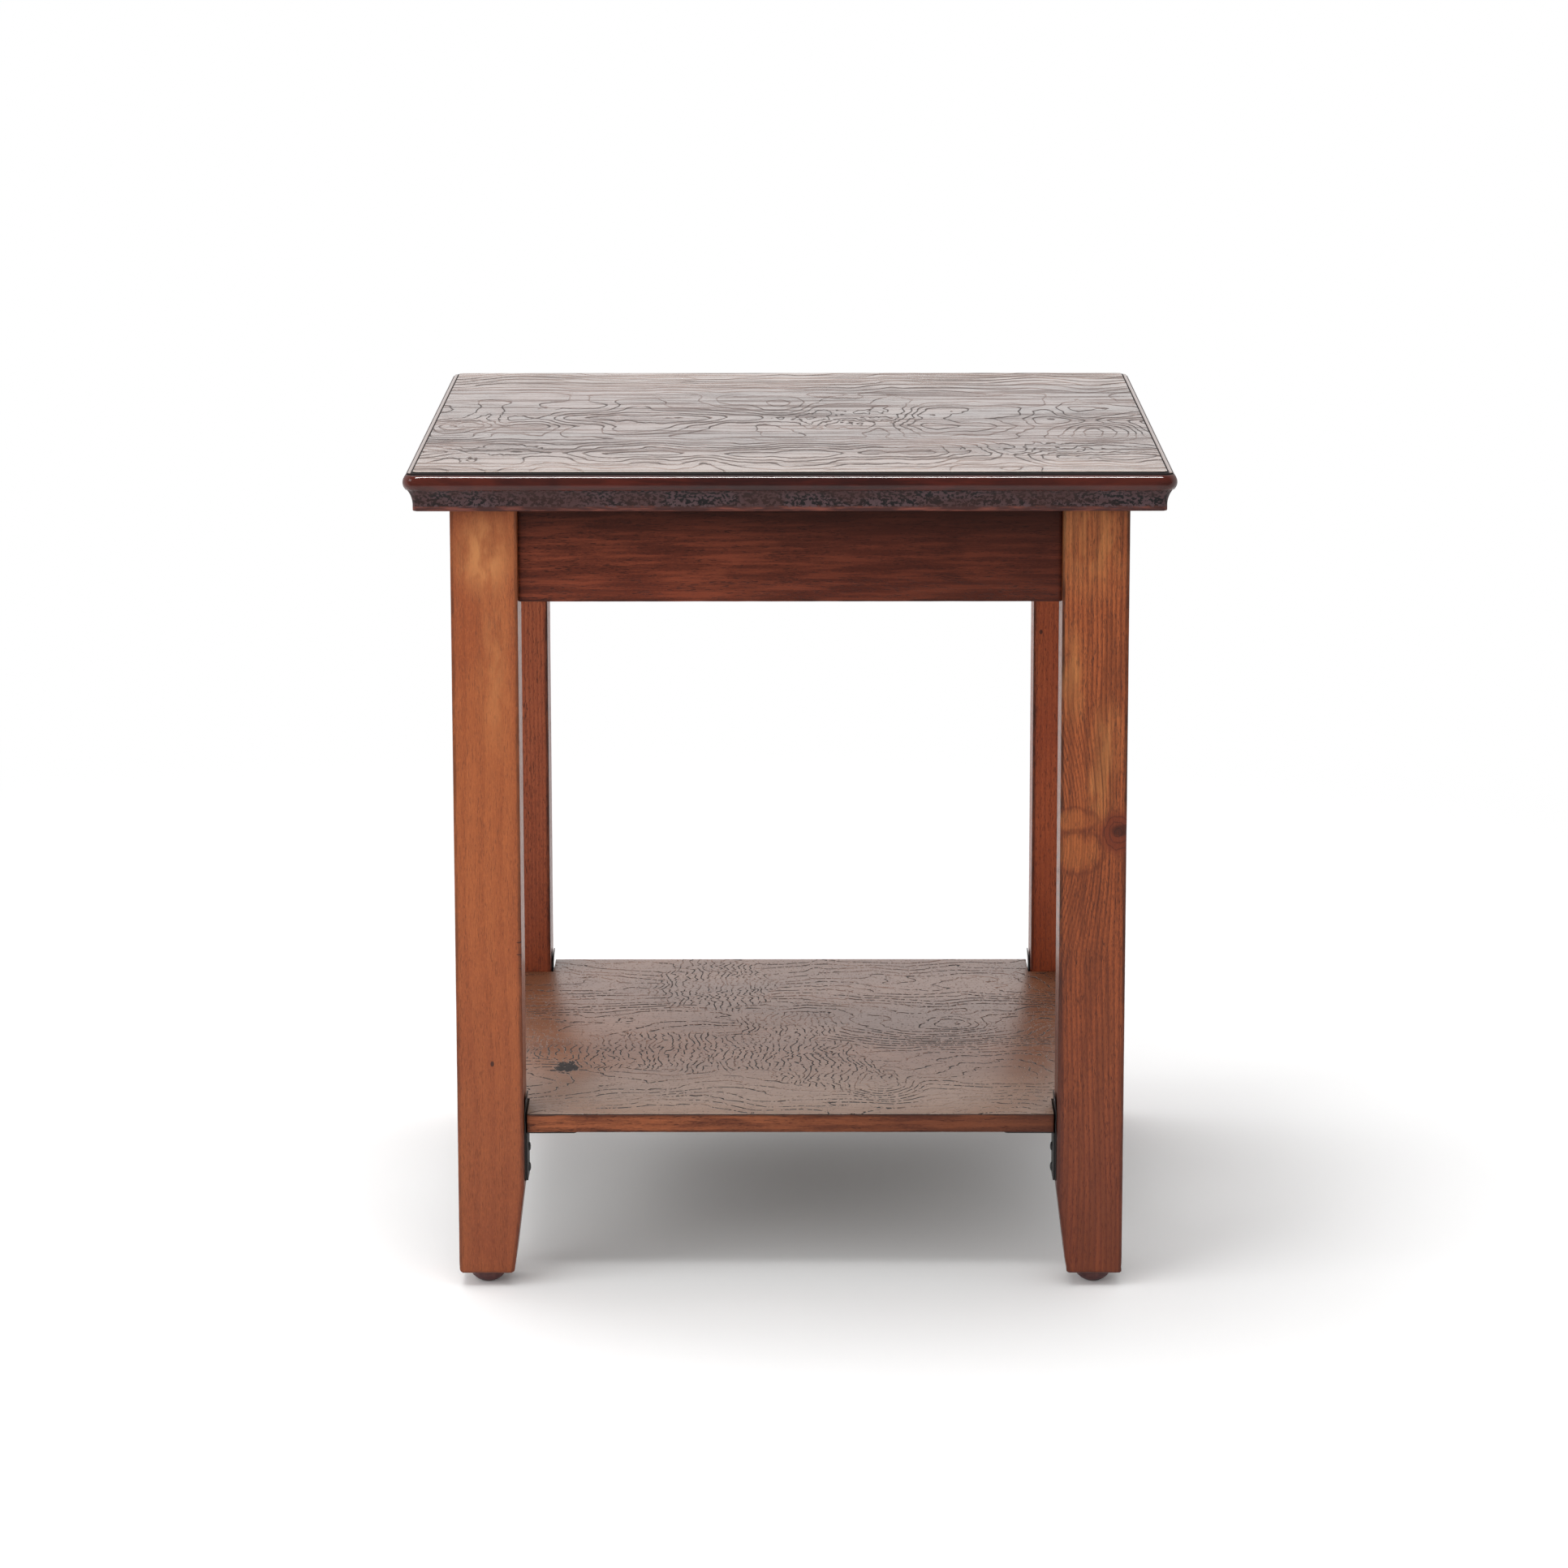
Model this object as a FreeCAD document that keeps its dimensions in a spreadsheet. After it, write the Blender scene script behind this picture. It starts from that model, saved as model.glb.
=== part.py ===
import FreeCAD, Part
import math
import os
import Sketcher

# End table with a moulded top, four square legs with tapered feet, and a lift-out lower shelf.
# Frame: +Z up, +X to the right, the front faces -Y, origin on the floor under the middle of the table.
# Everything at a corner is drawn once, for the front left corner, from that leg's outer arris,
# with x and y running inwards. Mirror copies across the table's two middle planes make the rest.

X, Y, Z = FreeCAD.Vector(1, 0, 0), FreeCAD.Vector(0, 1, 0), FreeCAD.Vector(0, 0, 1)
ORIGIN = FreeCAD.Vector(0, 0, 0)
ROOT2 = math.sqrt(2)

# Driving sizes in millimetres: alias, value.
SIZES = [
    # the whole table
    ("table_height", 564.0),
    ("top_width", 508.0),
    ("top_depth", 508.0),
    ("top_overhang", 29.0),
    # the moulded top board and its face veneer
    ("board_thick", 25.4),
    ("veneer_thick", 1.0),
    ("veneer_inset", 6.4),
    ("corner_clip", 6.0),
    ("ledge_inset", 3.0),
    ("ledge_drop", 1.1),
    ("nose_bulge", 2.0),
    ("nose_drop", 10.0),
    ("quirk_width", 0.7),
    ("cove_drop", 10.7),
    ("cove_depth", 3.6),
    ("foot_round", 0.9),
    # legs
    ("leg_width", 44.5),
    ("leg_edge_round", 1.2),
    ("leg_end_chamfer", 0.8),
    ("taper_height", 59.0),
    ("taper_depth", 7.2),
    ("leg_flat", 8.0),
    # aprons
    ("apron_height", 65.6),
    ("apron_thick", 19.0),
    ("apron_recess", 8.0),
    ("apron_edge_round", 1.0),
    # dowels between the aprons and the legs
    ("dowel_radius", 4.0),
    ("dowel_length", 36.0),
    ("dowel_end_gap", 0.5),
    ("dowel_chamfer", 0.8),
    ("dowel_top_drop", 12.0),
    ("dowel_spacing", 38.0),
    # corner blocks, with the hanger bolt that pulls each leg in
    ("block_height", 42.0),
    ("block_thick", 20.0),
    ("block_leg_gap", 4.0),
    ("bolt_radius", 4.0),
    ("bolt_depth", 33.0),
    ("bolt_tail", 7.0),
    ("bolt_drop", 26.0),
    ("bolt_point", 4.0),
    ("bolt_hole_clearance", 0.5),
    ("nut_height", 6.5),
    ("nut_flats", 13.0),
    ("washer_radius", 9.0),
    ("washer_thick", 1.6),
    # wood screws
    ("screw_radius", 2.1),
    ("screw_head_radius", 4.0),
    ("screw_head_height", 2.6),
    ("screw_point", 3.0),
    ("top_screw_bite", 16.0),
    ("top_screw_offset", 10.6),
    ("block_screw_bite", 14.0),
    ("block_screw_seat", 6.0),
    ("block_screw_reach", 53.0),
    ("counterbore_radius", 4.6),
    ("counterbore_length", 26.0),
    # feet
    ("glide_height", 10.0),
    ("glide_radius", 11.0),
    ("glide_dome_height", 4.8),
    ("glide_dome_radius", 15.0),
    ("glide_flat_radius", 3.0),
    ("nail_radius", 1.4),
    ("nail_head_radius", 3.0),
    ("nail_head_height", 1.2),
    ("nail_start", 3.5),
    ("nail_length", 26.0),
    # shelf
    ("shelf_height", 120.0),
    ("shelf_thick", 13.0),
    ("shelf_veneer_thick", 0.8),
    ("shelf_recess", 8.0),
    ("shelf_leg_gap", 2.15),
    ("edge_strip_width", 8.0),
    # steel hardware that carries the shelf
    ("leaf_thick", 1.1),
    ("leaf_rise", 10.7),
    ("leaf_clearance", 0.25),
    ("bracket_thick", 1.2),
    ("bracket_width", 25.0),
    ("bracket_drop", 35.0),
    ("bracket_reach", 35.5),
    ("bracket_bend", 0.9),
    ("bracket_corner", 3.0),
    ("bracket_screw_radius", 1.9),
    ("bracket_screw_length", 16.0),
    ("bracket_screw_head", 3.2),
    ("bracket_screw_dome", 1.5),
    ("bracket_screw_drop", 13.8),
    ("bracket_screw_spacing", 14.3),
    # fits
    ("fit_clearance", 0.05),
    ("screw_hole_clearance", 0.3),
]


class Size:
    """A length that carries its spreadsheet expression together with its value."""

    def __init__(self, text, value):
        self.text = text
        self.value = value

    def combined(self, sign, other, value):
        return Size("(%s %s %s)" % (self.text, sign, as_size(other).text), value)

    def __add__(self, other):
        return self.combined("+", other, self.value + as_size(other).value)

    def __sub__(self, other):
        return self.combined("-", other, self.value - as_size(other).value)

    def __mul__(self, other):
        return self.combined("*", other, self.value * as_size(other).value)

    def __truediv__(self, other):
        return self.combined("/", other, self.value / as_size(other).value)


def as_size(number):
    """Plain numbers join in a sum of sizes as they are."""
    if isinstance(number, Size):
        return number
    return Size("%.9f" % number, float(number))


NOTHING = as_size(0)


class Measures:
    """Every driving size, and the places that several pieces share, by name."""

    def __init__(self):
        for name, value in SIZES:
            setattr(self, name, Size("sizes." + name, value))
        self.board_bottom = self.table_height - self.veneer_thick - self.board_thick
        self.leg_length = self.board_bottom - self.glide_height
        self.frame_width = self.top_width - self.top_overhang * 2
        self.frame_depth = self.top_depth - self.top_overhang * 2
        self.apron_back = self.apron_recess + self.apron_thick
        self.dowel_line = self.apron_recess + self.apron_thick / 2
        self.dowel_heights = [self.board_bottom - self.dowel_top_drop]
        self.dowel_heights.append(self.dowel_heights[0] - self.dowel_spacing)
        self.shelf_bottom = self.shelf_height - self.shelf_thick
        self.shelf_notch = self.leg_width + self.shelf_leg_gap
        self.bracket_face = self.leg_width + self.leaf_thick
        self.bracket_foot = self.shelf_bottom - self.bracket_drop
        self.bracket_start = (self.leg_width - self.bracket_width) / 2
        top_screw = self.shelf_bottom - self.bracket_screw_drop
        self.bracket_screw_heights = [top_screw, top_screw - self.bracket_screw_spacing]
        self.foot_centre = (self.leg_width - self.taper_depth) / 2
        self.bolt_height = self.board_bottom - self.bolt_drop
        self.block_bottom = self.board_bottom - self.block_height
        self.block_screw_height = self.board_bottom - self.block_height / 2
        self.block_outer = self.leg_width * 2 + self.block_leg_gap * ROOT2
        self.block_inner = self.block_outer + self.block_thick * ROOT2
        self.block_middle = (self.block_outer + self.block_inner) / 4


m = Measures()
doc = FreeCAD.newDocument("end_table")
nodes = []


def make_sheet():
    """Writes the driving sizes to the spreadsheet, one named cell each."""
    sheet = doc.addObject("Spreadsheet::Sheet", "sizes")
    for row, (name, value) in enumerate(SIZES, start=1):
        sheet.set("A%d" % row, name)
        sheet.set("B%d" % row, repr(value))
        sheet.setAlias("B%d" % row, name)
    doc.recompute()


def bind(item, name, size):
    """Ties one property of a document object to the sheet."""
    item.setExpression(name, as_size(size).text)


def place(item, x, y, z, rotation=FreeCAD.Rotation()):
    """Puts an object at a bound place, measured in the table's own frame."""
    item.Placement = FreeCAD.Placement(ORIGIN, rotation)
    for axis, size in (("x", x), ("y", y), ("z", z)):
        bind(item, "Placement.Base." + axis, size)


def place_at_corner(item, x=NOTHING, y=NOTHING, z=NOTHING, rotation=FreeCAD.Rotation()):
    """Puts an object at a bound place, measured inwards from the front left leg's outer arris."""
    place(item, x - m.frame_width / 2, y - m.frame_depth / 2, z, rotation)


# Sketches

FORWARDS, BACKWARDS = (1, 2), (2, 1)
SKETCH_ORIGIN, SKETCH_X_AXIS, SKETCH_Y_AXIS = (-1, 1), -1, -2


def origin_plane(body, role):
    return [item for item in body.Origin.OriginFeatures if item.Role == role][0]


def new_body(name):
    return doc.addObject("PartDesign::Body", name)


def sketch_on(body, name, role, offset=None):
    """A sketch on one of the body's own origin planes, moved along the plane's normal by offset."""
    sketch = body.newObject("Sketcher::SketchObject", name)
    sketch.AttachmentSupport = [(origin_plane(body, role), "")]
    sketch.MapMode = "FlatFace"
    if offset is not None:
        bind(sketch, "AttachmentOffset.Base.z", offset)
    return sketch


def free_sketch(name):
    return doc.addObject("Sketcher::SketchObject", name)


def hold(sketch, constraint, size):
    """Adds a dimension to a sketch and ties it to the sheet."""
    index = sketch.addConstraint(constraint)
    bind(sketch, "Constraints[%d]" % index, size)


def hold_point(sketch, edge, end, x, y):
    """Dimensions one end of an edge from the sketch's origin. Coordinates are never negative."""
    for size, kind, axis in ((x, "DistanceX", SKETCH_Y_AXIS), (y, "DistanceY", SKETCH_X_AXIS)):
        if size.value == 0:
            sketch.addConstraint(Sketcher.Constraint("PointOnObject", edge, end, axis))
        else:
            hold(sketch, Sketcher.Constraint(kind, *SKETCH_ORIGIN, edge, end, size.value), size)


def arc_between(first, last, radius, turn):
    """The short arc from first to last: turn is 1 if it runs anticlockwise and -1 if clockwise."""
    chord = last - first
    middle = (first + last) * 0.5
    rise = math.sqrt(max(radius**2 - (chord.Length / 2) ** 2, 0))
    sideways = FreeCAD.Vector(-chord.y, chord.x, 0).normalize()
    centre = middle + sideways * rise * turn
    start, end = (first, last) if turn > 0 else (last, first)
    angles = [math.atan2(point.y - centre.y, point.x - centre.x) for point in (start, end)]
    return Part.ArcOfCircle(Part.Circle(centre, Z, radius), *angles)


def draw_outline(sketch, corners, arcs=None):
    """Draws a closed outline through the corners. arcs gives (radius, turn) for the edge that
    leaves a corner, by the corner's number; every other edge is straight."""
    arcs = arcs or {}
    points = [FreeCAD.Vector(x.value, y.value, 0) for x, y in corners]
    ends = []
    for number, first in enumerate(points):
        last = points[(number + 1) % len(points)]
        if number in arcs:
            radius, turn = arcs[number]
            edge = sketch.addGeometry(arc_between(first, last, radius.value, turn))
            start, end = FORWARDS if turn > 0 else BACKWARDS
        else:
            edge = sketch.addGeometry(Part.LineSegment(first, last))
            start, end = FORWARDS
        ends.append((edge, start, end))
    for number, (edge, start, end) in enumerate(ends):
        next_edge, next_start, next_end = ends[(number + 1) % len(ends)]
        sketch.addConstraint(Sketcher.Constraint("Coincident", edge, end, next_edge, next_start))
        hold_point(sketch, edge, start, *corners[number])
        if number in arcs:
            radius = arcs[number][0]
            hold(sketch, Sketcher.Constraint("Radius", edge, radius.value), radius)


def rectangle(left, bottom, right, top):
    return [(left, bottom), (right, bottom), (right, top), (left, top)]


# Part design features


def pad(body, sketch, length, backwards=False):
    feature = body.newObject("PartDesign::Pad", sketch.Name + "_pad")
    feature.Profile = sketch
    bind(feature, "Length", length)
    feature.Reversed = backwards
    sketch.Visibility = False
    doc.recompute()
    return feature


def pocket(body, sketch, depth, backwards=False):
    """Cuts a sketch into the body, and makes sure that it does cut."""
    before = body.Shape.Volume
    feature = body.newObject("PartDesign::Pocket", sketch.Name + "_cut")
    feature.Profile = sketch
    bind(feature, "Length", depth)
    feature.Reversed = backwards
    doc.recompute()
    must_be_smaller(body, before, feature.Name)
    return feature


def must_be_smaller(body, before, name):
    if body.Shape.Volume >= before - 1e-3:
        raise RuntimeError(name + " cuts nothing from " + body.Name)


def drill(body, name, radius, depth, x, y, z, along):
    """A round hole from its mouth at x, y, z in the body's frame, running the way that along points."""
    before = body.Shape.Volume
    hole = body.newObject("PartDesign::SubtractiveCylinder", name)
    hole.AttachmentSupport = [(origin_plane(body, "XY_Plane"), "")]
    hole.MapMode = "FlatFace"
    hole.AttachmentOffset = FreeCAD.Placement(ORIGIN, FreeCAD.Rotation(Z, along))
    bind(hole, "Radius", radius)
    bind(hole, "Height", depth)
    for axis, size in (("x", x), ("y", y), ("z", z)):
        bind(hole, "AttachmentOffset.Base." + axis, size)
    doc.recompute()
    must_be_smaller(body, before, name)
    return hole


def edges_where(feature, test):
    shape = feature.Shape
    return ["Edge%d" % number for number, edge in enumerate(shape.Edges, start=1) if test(edge)]


def soften(body, kind, name, amount, test):
    """Fillets or chamfers every edge of the body that passes the test."""
    feature = body.newObject("PartDesign::" + kind, name)
    feature.Base = (body.Tip if body.Tip != feature else feature.BaseFeature, [])
    feature.Base = (feature.Base[0], edges_where(feature.Base[0], test))
    bind(feature, "Radius" if kind == "Fillet" else "Size", amount)
    doc.recompute()
    return feature


def turned(name, corners, arcs=None):
    """A body turned about its own Z axis from half of its section."""
    body = new_body(name)
    sketch = sketch_on(body, name + "_section", "XZ_Plane")
    draw_outline(sketch, corners, arcs)
    feature = body.newObject("PartDesign::Revolution", name + "_turned")
    feature.Profile = sketch
    feature.ReferenceAxis = (sketch, ["V_Axis"])
    feature.Angle = 360.0
    doc.recompute()
    return body


# Copies and nodes


def keep(piece, label):
    """Makes a piece a node of its own, under the name of its file."""
    piece.Label = label
    nodes.append(piece)
    return piece


def mirrored(source, name, normal):
    copy = doc.addObject("Part::Mirroring", name)
    copy.Source = source
    copy.Normal = normal
    copy.Base = ORIGIN
    return copy


def at_every_corner(piece, stem):
    """The front left piece and its three mirror copies."""
    right = mirrored(piece, stem + "_at_front_right", X)
    rear_left = mirrored(piece, stem + "_at_rear_left", Y)
    rear_right = mirrored(right, stem + "_at_rear_right", Y)
    return [piece, right, rear_left, rear_right]


def four_nodes(piece, stem):
    names = ("_front_left", "_front_right", "_rear_left", "_rear_right")
    for copy, name in zip(at_every_corner(piece, stem), names):
        keep(copy, stem + name)


def one_group(pieces, label):
    """Identical fasteners, at all four corners, as one node."""
    group = doc.addObject("Part::Compound", label)
    group.Links = [copy for piece in pieces for copy in at_every_corner(piece, piece.Name)]
    return keep(group, label)


# The top


def moulding_profile(width):
    """The board's section across one pair of edges, from the bottom right corner, anticlockwise
    round. Each side is ledge, nose, quirk, cove and foot, from the top down."""
    nose_head = m.board_thick - m.ledge_drop
    nose_foot = nose_head - m.nose_drop
    cove_foot = nose_foot - m.cove_drop
    cove_inset = m.nose_bulge + m.quirk_width
    foot_inset = cove_inset + m.cove_depth
    side = [
        (foot_inset + m.foot_round, NOTHING),
        (foot_inset, m.foot_round),
        (foot_inset, cove_foot),
        (cove_inset, nose_foot),
        (m.nose_bulge, nose_foot),
        (m.nose_bulge, nose_head),
        (m.ledge_inset, nose_head),
        (m.ledge_inset, m.board_thick),
    ]
    right = [(width - inset, height) for inset, height in side]
    corners = right + side[::-1]
    nose_radius = (m.nose_drop * m.nose_drop / 4 + m.nose_bulge * m.nose_bulge) / m.nose_bulge / 2
    cove_radius = (m.cove_drop * m.cove_drop + m.cove_depth * m.cove_depth) / m.cove_depth / 2
    foot, cove, nose = (m.foot_round, 1), (cove_radius, -1), (nose_radius, 1)
    arcs = {0: foot, 2: cove, 4: nose, 10: nose, 12: cove, 14: foot}
    return corners, arcs


def moulded_run(name, width, length, angle):
    """The moulding profile drawn out through the table's middle, in the direction angle."""
    sketch = free_sketch(name + "_profile")
    draw_outline(sketch, *moulding_profile(width))
    run = doc.addObject("Part::Extrusion", name)
    run.Base = sketch
    run.DirMode = "Normal"
    bind(run, "LengthFwd", length)
    run.Symmetric = True
    run.Solid = True
    turn = math.radians(angle)
    place(sketch, width * (-math.cos(turn) / 2), width * (-math.sin(turn) / 2), m.board_bottom,
          FreeCAD.Rotation(Z, angle) * FreeCAD.Rotation(X, 90))
    doc.recompute()
    return run


def top_screw_places():
    """Where the two screws of one corner block go up into the board, inwards from the corner."""
    near = m.block_middle - m.top_screw_offset
    far = m.block_middle + m.top_screw_offset
    return [(near, far), (far, near)]


def make_top_board():
    """The board is what its two straight runs and its two corner-to-corner runs have in common,
    so the moulding is mitred and each corner is clipped."""
    across_corners = (m.top_width + m.top_depth - m.corner_clip * 2) / ROOT2
    reach = m.top_width + m.top_depth
    runs = [
        moulded_run("side_moulding", m.top_width, reach, 0),
        moulded_run("end_moulding", m.top_depth, reach, 90),
        moulded_run("corner_moulding_a", across_corners, reach, 45),
        moulded_run("corner_moulding_b", across_corners, reach, 135),
    ]
    blank = doc.addObject("Part::MultiCommon", "top_blank")
    blank.Shapes = runs
    holes = []
    for number, (x, y) in enumerate(top_screw_places()):
        hole = doc.addObject("Part::Cylinder", "top_screw_hole_%d" % number)
        bind(hole, "Radius", m.screw_radius + m.fit_clearance)
        bind(hole, "Height", m.top_screw_bite + m.dowel_end_gap)
        place_at_corner(hole, x, y, m.board_bottom)
        holes += at_every_corner(hole, hole.Name)
    drills = doc.addObject("Part::Compound", "top_screw_holes")
    drills.Links = holes
    board = doc.addObject("Part::Cut", "top_board")
    board.Base = blank
    board.Tool = drills
    keep(board, "top_board")


def clipped_rectangle(width, depth, clip):
    return [
        (clip, NOTHING),
        (width - clip, NOTHING),
        (width, clip),
        (width, depth - clip),
        (width - clip, depth),
        (clip, depth),
        (NOTHING, depth - clip),
        (NOTHING, clip),
    ]


def make_top_veneer():
    """The face veneer stops short of the moulding, parallel to it all round."""
    body = new_body("top_veneer")
    width = m.top_width - m.veneer_inset * 2
    depth = m.top_depth - m.veneer_inset * 2
    clip = m.corner_clip - m.veneer_inset * (2 - ROOT2)
    sketch = sketch_on(body, "veneer_outline", "XY_Plane")
    draw_outline(sketch, clipped_rectangle(width, depth, clip))
    pad(body, sketch, m.veneer_thick)
    place(body, width / -2, depth / -2, m.table_height - m.veneer_thick)
    keep(body, "top_veneer")


# Legs and aprons


def drill_leg(body):
    """Blind holes for the dowels, the hanger bolt, the bracket's screws and the glide's nail."""
    dowel_radius = m.dowel_radius + m.fit_clearance
    dowel_depth = m.dowel_length / 2 + m.dowel_end_gap
    for number, height in enumerate(m.dowel_heights):
        name = "dowel_hole_%d" % number
        drill(body, name + "_x", dowel_radius, dowel_depth, m.leg_width, m.dowel_line, height, X * -1)
        drill(body, name + "_y", dowel_radius, dowel_depth, m.dowel_line, m.leg_width, height, Y * -1)
    outwards = FreeCAD.Vector(-1, -1, 0)
    depth = m.bolt_depth + m.dowel_end_gap + m.leg_flat
    drill(body, "bolt_hole", m.bolt_radius + m.fit_clearance, depth,
          m.leg_width, m.leg_width, m.bolt_height, outwards)
    middle = m.bracket_start + m.bracket_width / 2
    bite = m.bracket_screw_length - m.leaf_thick - m.bracket_thick + m.dowel_end_gap
    for number, height in enumerate(m.bracket_screw_heights):
        drill(body, "bracket_hole_%d" % number, m.bracket_screw_radius + m.fit_clearance, bite,
              m.leg_width, middle, height, X * -1)
    nail_depth = m.nail_start + m.nail_length - m.glide_height + m.dowel_end_gap
    drill(body, "nail_hole", m.nail_radius + m.fit_clearance, nail_depth,
          m.foot_centre, m.foot_centre, m.glide_height, Z)


def make_legs():
    """A square leg whose two inner faces taper at the foot. Its inner arris is cut flat at the top,
    square to the hanger bolt."""
    body = new_body("leg")
    foot = m.glide_height
    knee = m.glide_height + m.taper_height
    ankle = m.leg_width - m.taper_depth
    side = sketch_on(body, "leg_side", "XZ_Plane")
    outline = [
        (NOTHING, foot),
        (ankle, foot),
        (m.leg_width, knee),
        (m.leg_width, m.board_bottom),
        (NOTHING, m.board_bottom),
    ]
    draw_outline(side, outline)
    pad(body, side, m.leg_width, backwards=True)
    wedge = sketch_on(body, "foot_taper", "YZ_Plane")
    draw_outline(wedge, [(ankle, foot), (m.leg_width, foot), (m.leg_width, knee)])
    pocket(body, wedge, m.leg_width, backwards=True)
    flat = sketch_on(body, "bolt_flat", "XY_Plane", m.board_bottom)
    start = m.leg_width - m.leg_flat
    draw_outline(flat, [(m.leg_width, start), (m.leg_width, m.leg_width), (start, m.leg_width)])
    pocket(body, flat, m.apron_height)

    def is_long_arris(edge):
        rise = abs(edge.Vertexes[-1].Z - edge.Vertexes[0].Z)
        return rise > 0.9 * edge.Length and rise > 1.5 * m.leg_edge_round.value

    soften(body, "Fillet", "leg_edges", m.leg_edge_round, is_long_arris)
    soften(body, "Chamfer", "leg_foot", m.leg_end_chamfer,
           lambda edge: edge.BoundBox.ZMax < m.glide_height.value + 1e-4)
    drill_leg(body)
    place_at_corner(body)
    four_nodes(body, "leg")


def make_apron(name, length, across):
    """A rail between two legs, drawn along its own +X. across is True for the front rail."""
    body = new_body(name)
    sketch = sketch_on(body, name + "_end", "YZ_Plane")
    bottom = m.board_bottom - m.apron_height
    draw_outline(sketch, rectangle(NOTHING, bottom, m.apron_thick, m.board_bottom))
    pad(body, sketch, length)
    soften(body, "Fillet", name + "_edges", m.apron_edge_round,
           lambda edge: edge.BoundBox.ZMax < bottom.value + 1e-4 and edge.BoundBox.XLength > 1)
    radius = m.dowel_radius + m.fit_clearance
    depth = m.dowel_length / 2 + m.dowel_end_gap
    for number, height in enumerate(m.dowel_heights):
        middle = m.apron_thick / 2
        drill(body, "%s_near_%d" % (name, number), radius, depth, NOTHING, middle, height, X)
        drill(body, "%s_far_%d" % (name, number), radius, depth, length, middle, height, X * -1)
    pilot = m.screw_radius + m.fit_clearance
    bite = m.block_screw_bite + m.dowel_end_gap
    near = m.block_screw_reach + m.apron_back - m.leg_width
    if across:
        for end, x in (("near", near), ("far", length - near)):
            drill(body, "%s_%s_pilot" % (name, end), pilot, bite, x, m.apron_thick,
                  m.block_screw_height, Y * -1)
    else:
        for end, x in (("near", near), ("far", length - near)):
            drill(body, "%s_%s_pilot" % (name, end), pilot, bite, x, NOTHING,
                  m.block_screw_height, Y)
    return body


def make_aprons():
    """Front and side rails, and their mirror copies behind and on the right."""
    front = make_apron("front_rail", m.frame_width - m.leg_width * 2, across=True)
    place_at_corner(front, m.leg_width, m.apron_recess)
    keep(front, "apron_front")
    keep(mirrored(front, "rear_rail", Y), "apron_rear")
    left = make_apron("left_rail", m.frame_depth - m.leg_width * 2, across=False)
    place_at_corner(left, m.apron_back, m.leg_width, NOTHING, FreeCAD.Rotation(Z, 90))
    keep(left, "apron_left")
    keep(mirrored(left, "right_rail", X), "apron_right")


def make_dowels():
    """Two dowels at each end of each rail, half in the rail and half in the leg."""
    half = m.dowel_length / 2
    shoulder = m.dowel_length - m.dowel_chamfer
    tip = m.dowel_radius - m.dowel_chamfer
    section = [
        (NOTHING, NOTHING),
        (tip, NOTHING),
        (m.dowel_radius, m.dowel_chamfer),
        (m.dowel_radius, shoulder),
        (tip, m.dowel_length),
        (NOTHING, m.dowel_length),
    ]
    start = m.leg_width - half
    dowels = []
    for number, height in enumerate(m.dowel_heights):
        along_x = turned("dowel_x_%d" % number, section)
        place_at_corner(along_x, start, m.dowel_line, height, FreeCAD.Rotation(Z, X))
        along_y = turned("dowel_y_%d" % number, section)
        place_at_corner(along_y, m.dowel_line, start, height, FreeCAD.Rotation(Z, Y))
        dowels += [along_x, along_y]
    one_group(dowels, "apron_dowels")


# Corner blocks and their fasteners


def make_corner_blocks():
    """A block across each inside corner, glued and screwed to two rails."""
    body = new_body("corner_block")
    sketch = sketch_on(body, "block_outline", "XY_Plane", m.block_bottom)
    back = m.apron_back
    outline = [
        (m.block_outer - back, back),
        (m.block_inner - back, back),
        (back, m.block_inner - back),
        (back, m.block_outer - back),
    ]
    draw_outline(sketch, outline)
    pad(body, sketch, m.block_height)
    middle = m.block_outer / 2
    drill(body, "block_bolt_hole", m.bolt_radius + m.bolt_hole_clearance, m.block_thick * 2,
          middle - m.block_thick / ROOT2 / 4, middle - m.block_thick / ROOT2 / 4,
          m.bolt_height, FreeCAD.Vector(1, 1, 0))
    shank = m.screw_radius + m.screw_hole_clearance
    for number, (x, y) in enumerate(top_screw_places()):
        drill(body, "block_top_hole_%d" % number, shank, m.block_height, x, y, m.block_bottom, Z)
    reach = back + m.block_screw_reach
    seat = back + m.block_screw_seat
    drill(body, "block_hole_y", shank, m.block_screw_seat, reach, seat, m.block_screw_height, Y * -1)
    drill(body, "block_hole_x", shank, m.block_screw_seat, seat, reach, m.block_screw_height, X * -1)
    drill(body, "block_bore_y", m.counterbore_radius, m.counterbore_length, reach, seat,
          m.block_screw_height, Y)
    drill(body, "block_bore_x", m.counterbore_radius, m.counterbore_length, seat, reach,
          m.block_screw_height, X)
    place_at_corner(body)
    four_nodes(body, "corner_block")


def pan_screw(name, radius, length, head_radius, head_height):
    """A screw that points down its own -Z, with its tip at its origin. Its head's seat is at
    length, and two thirds of the head's height is its dome."""
    brim = length + head_height / 3
    rise = head_height * 2 / 3
    dome = (head_radius * head_radius + rise * rise) / rise / 2
    section = [
        (NOTHING, NOTHING),
        (radius, m.screw_point),
        (radius, length),
        (head_radius, length),
        (head_radius, brim),
        (NOTHING, length + head_height),
    ]
    return turned(name, section, {4: (dome, 1)})


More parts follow.
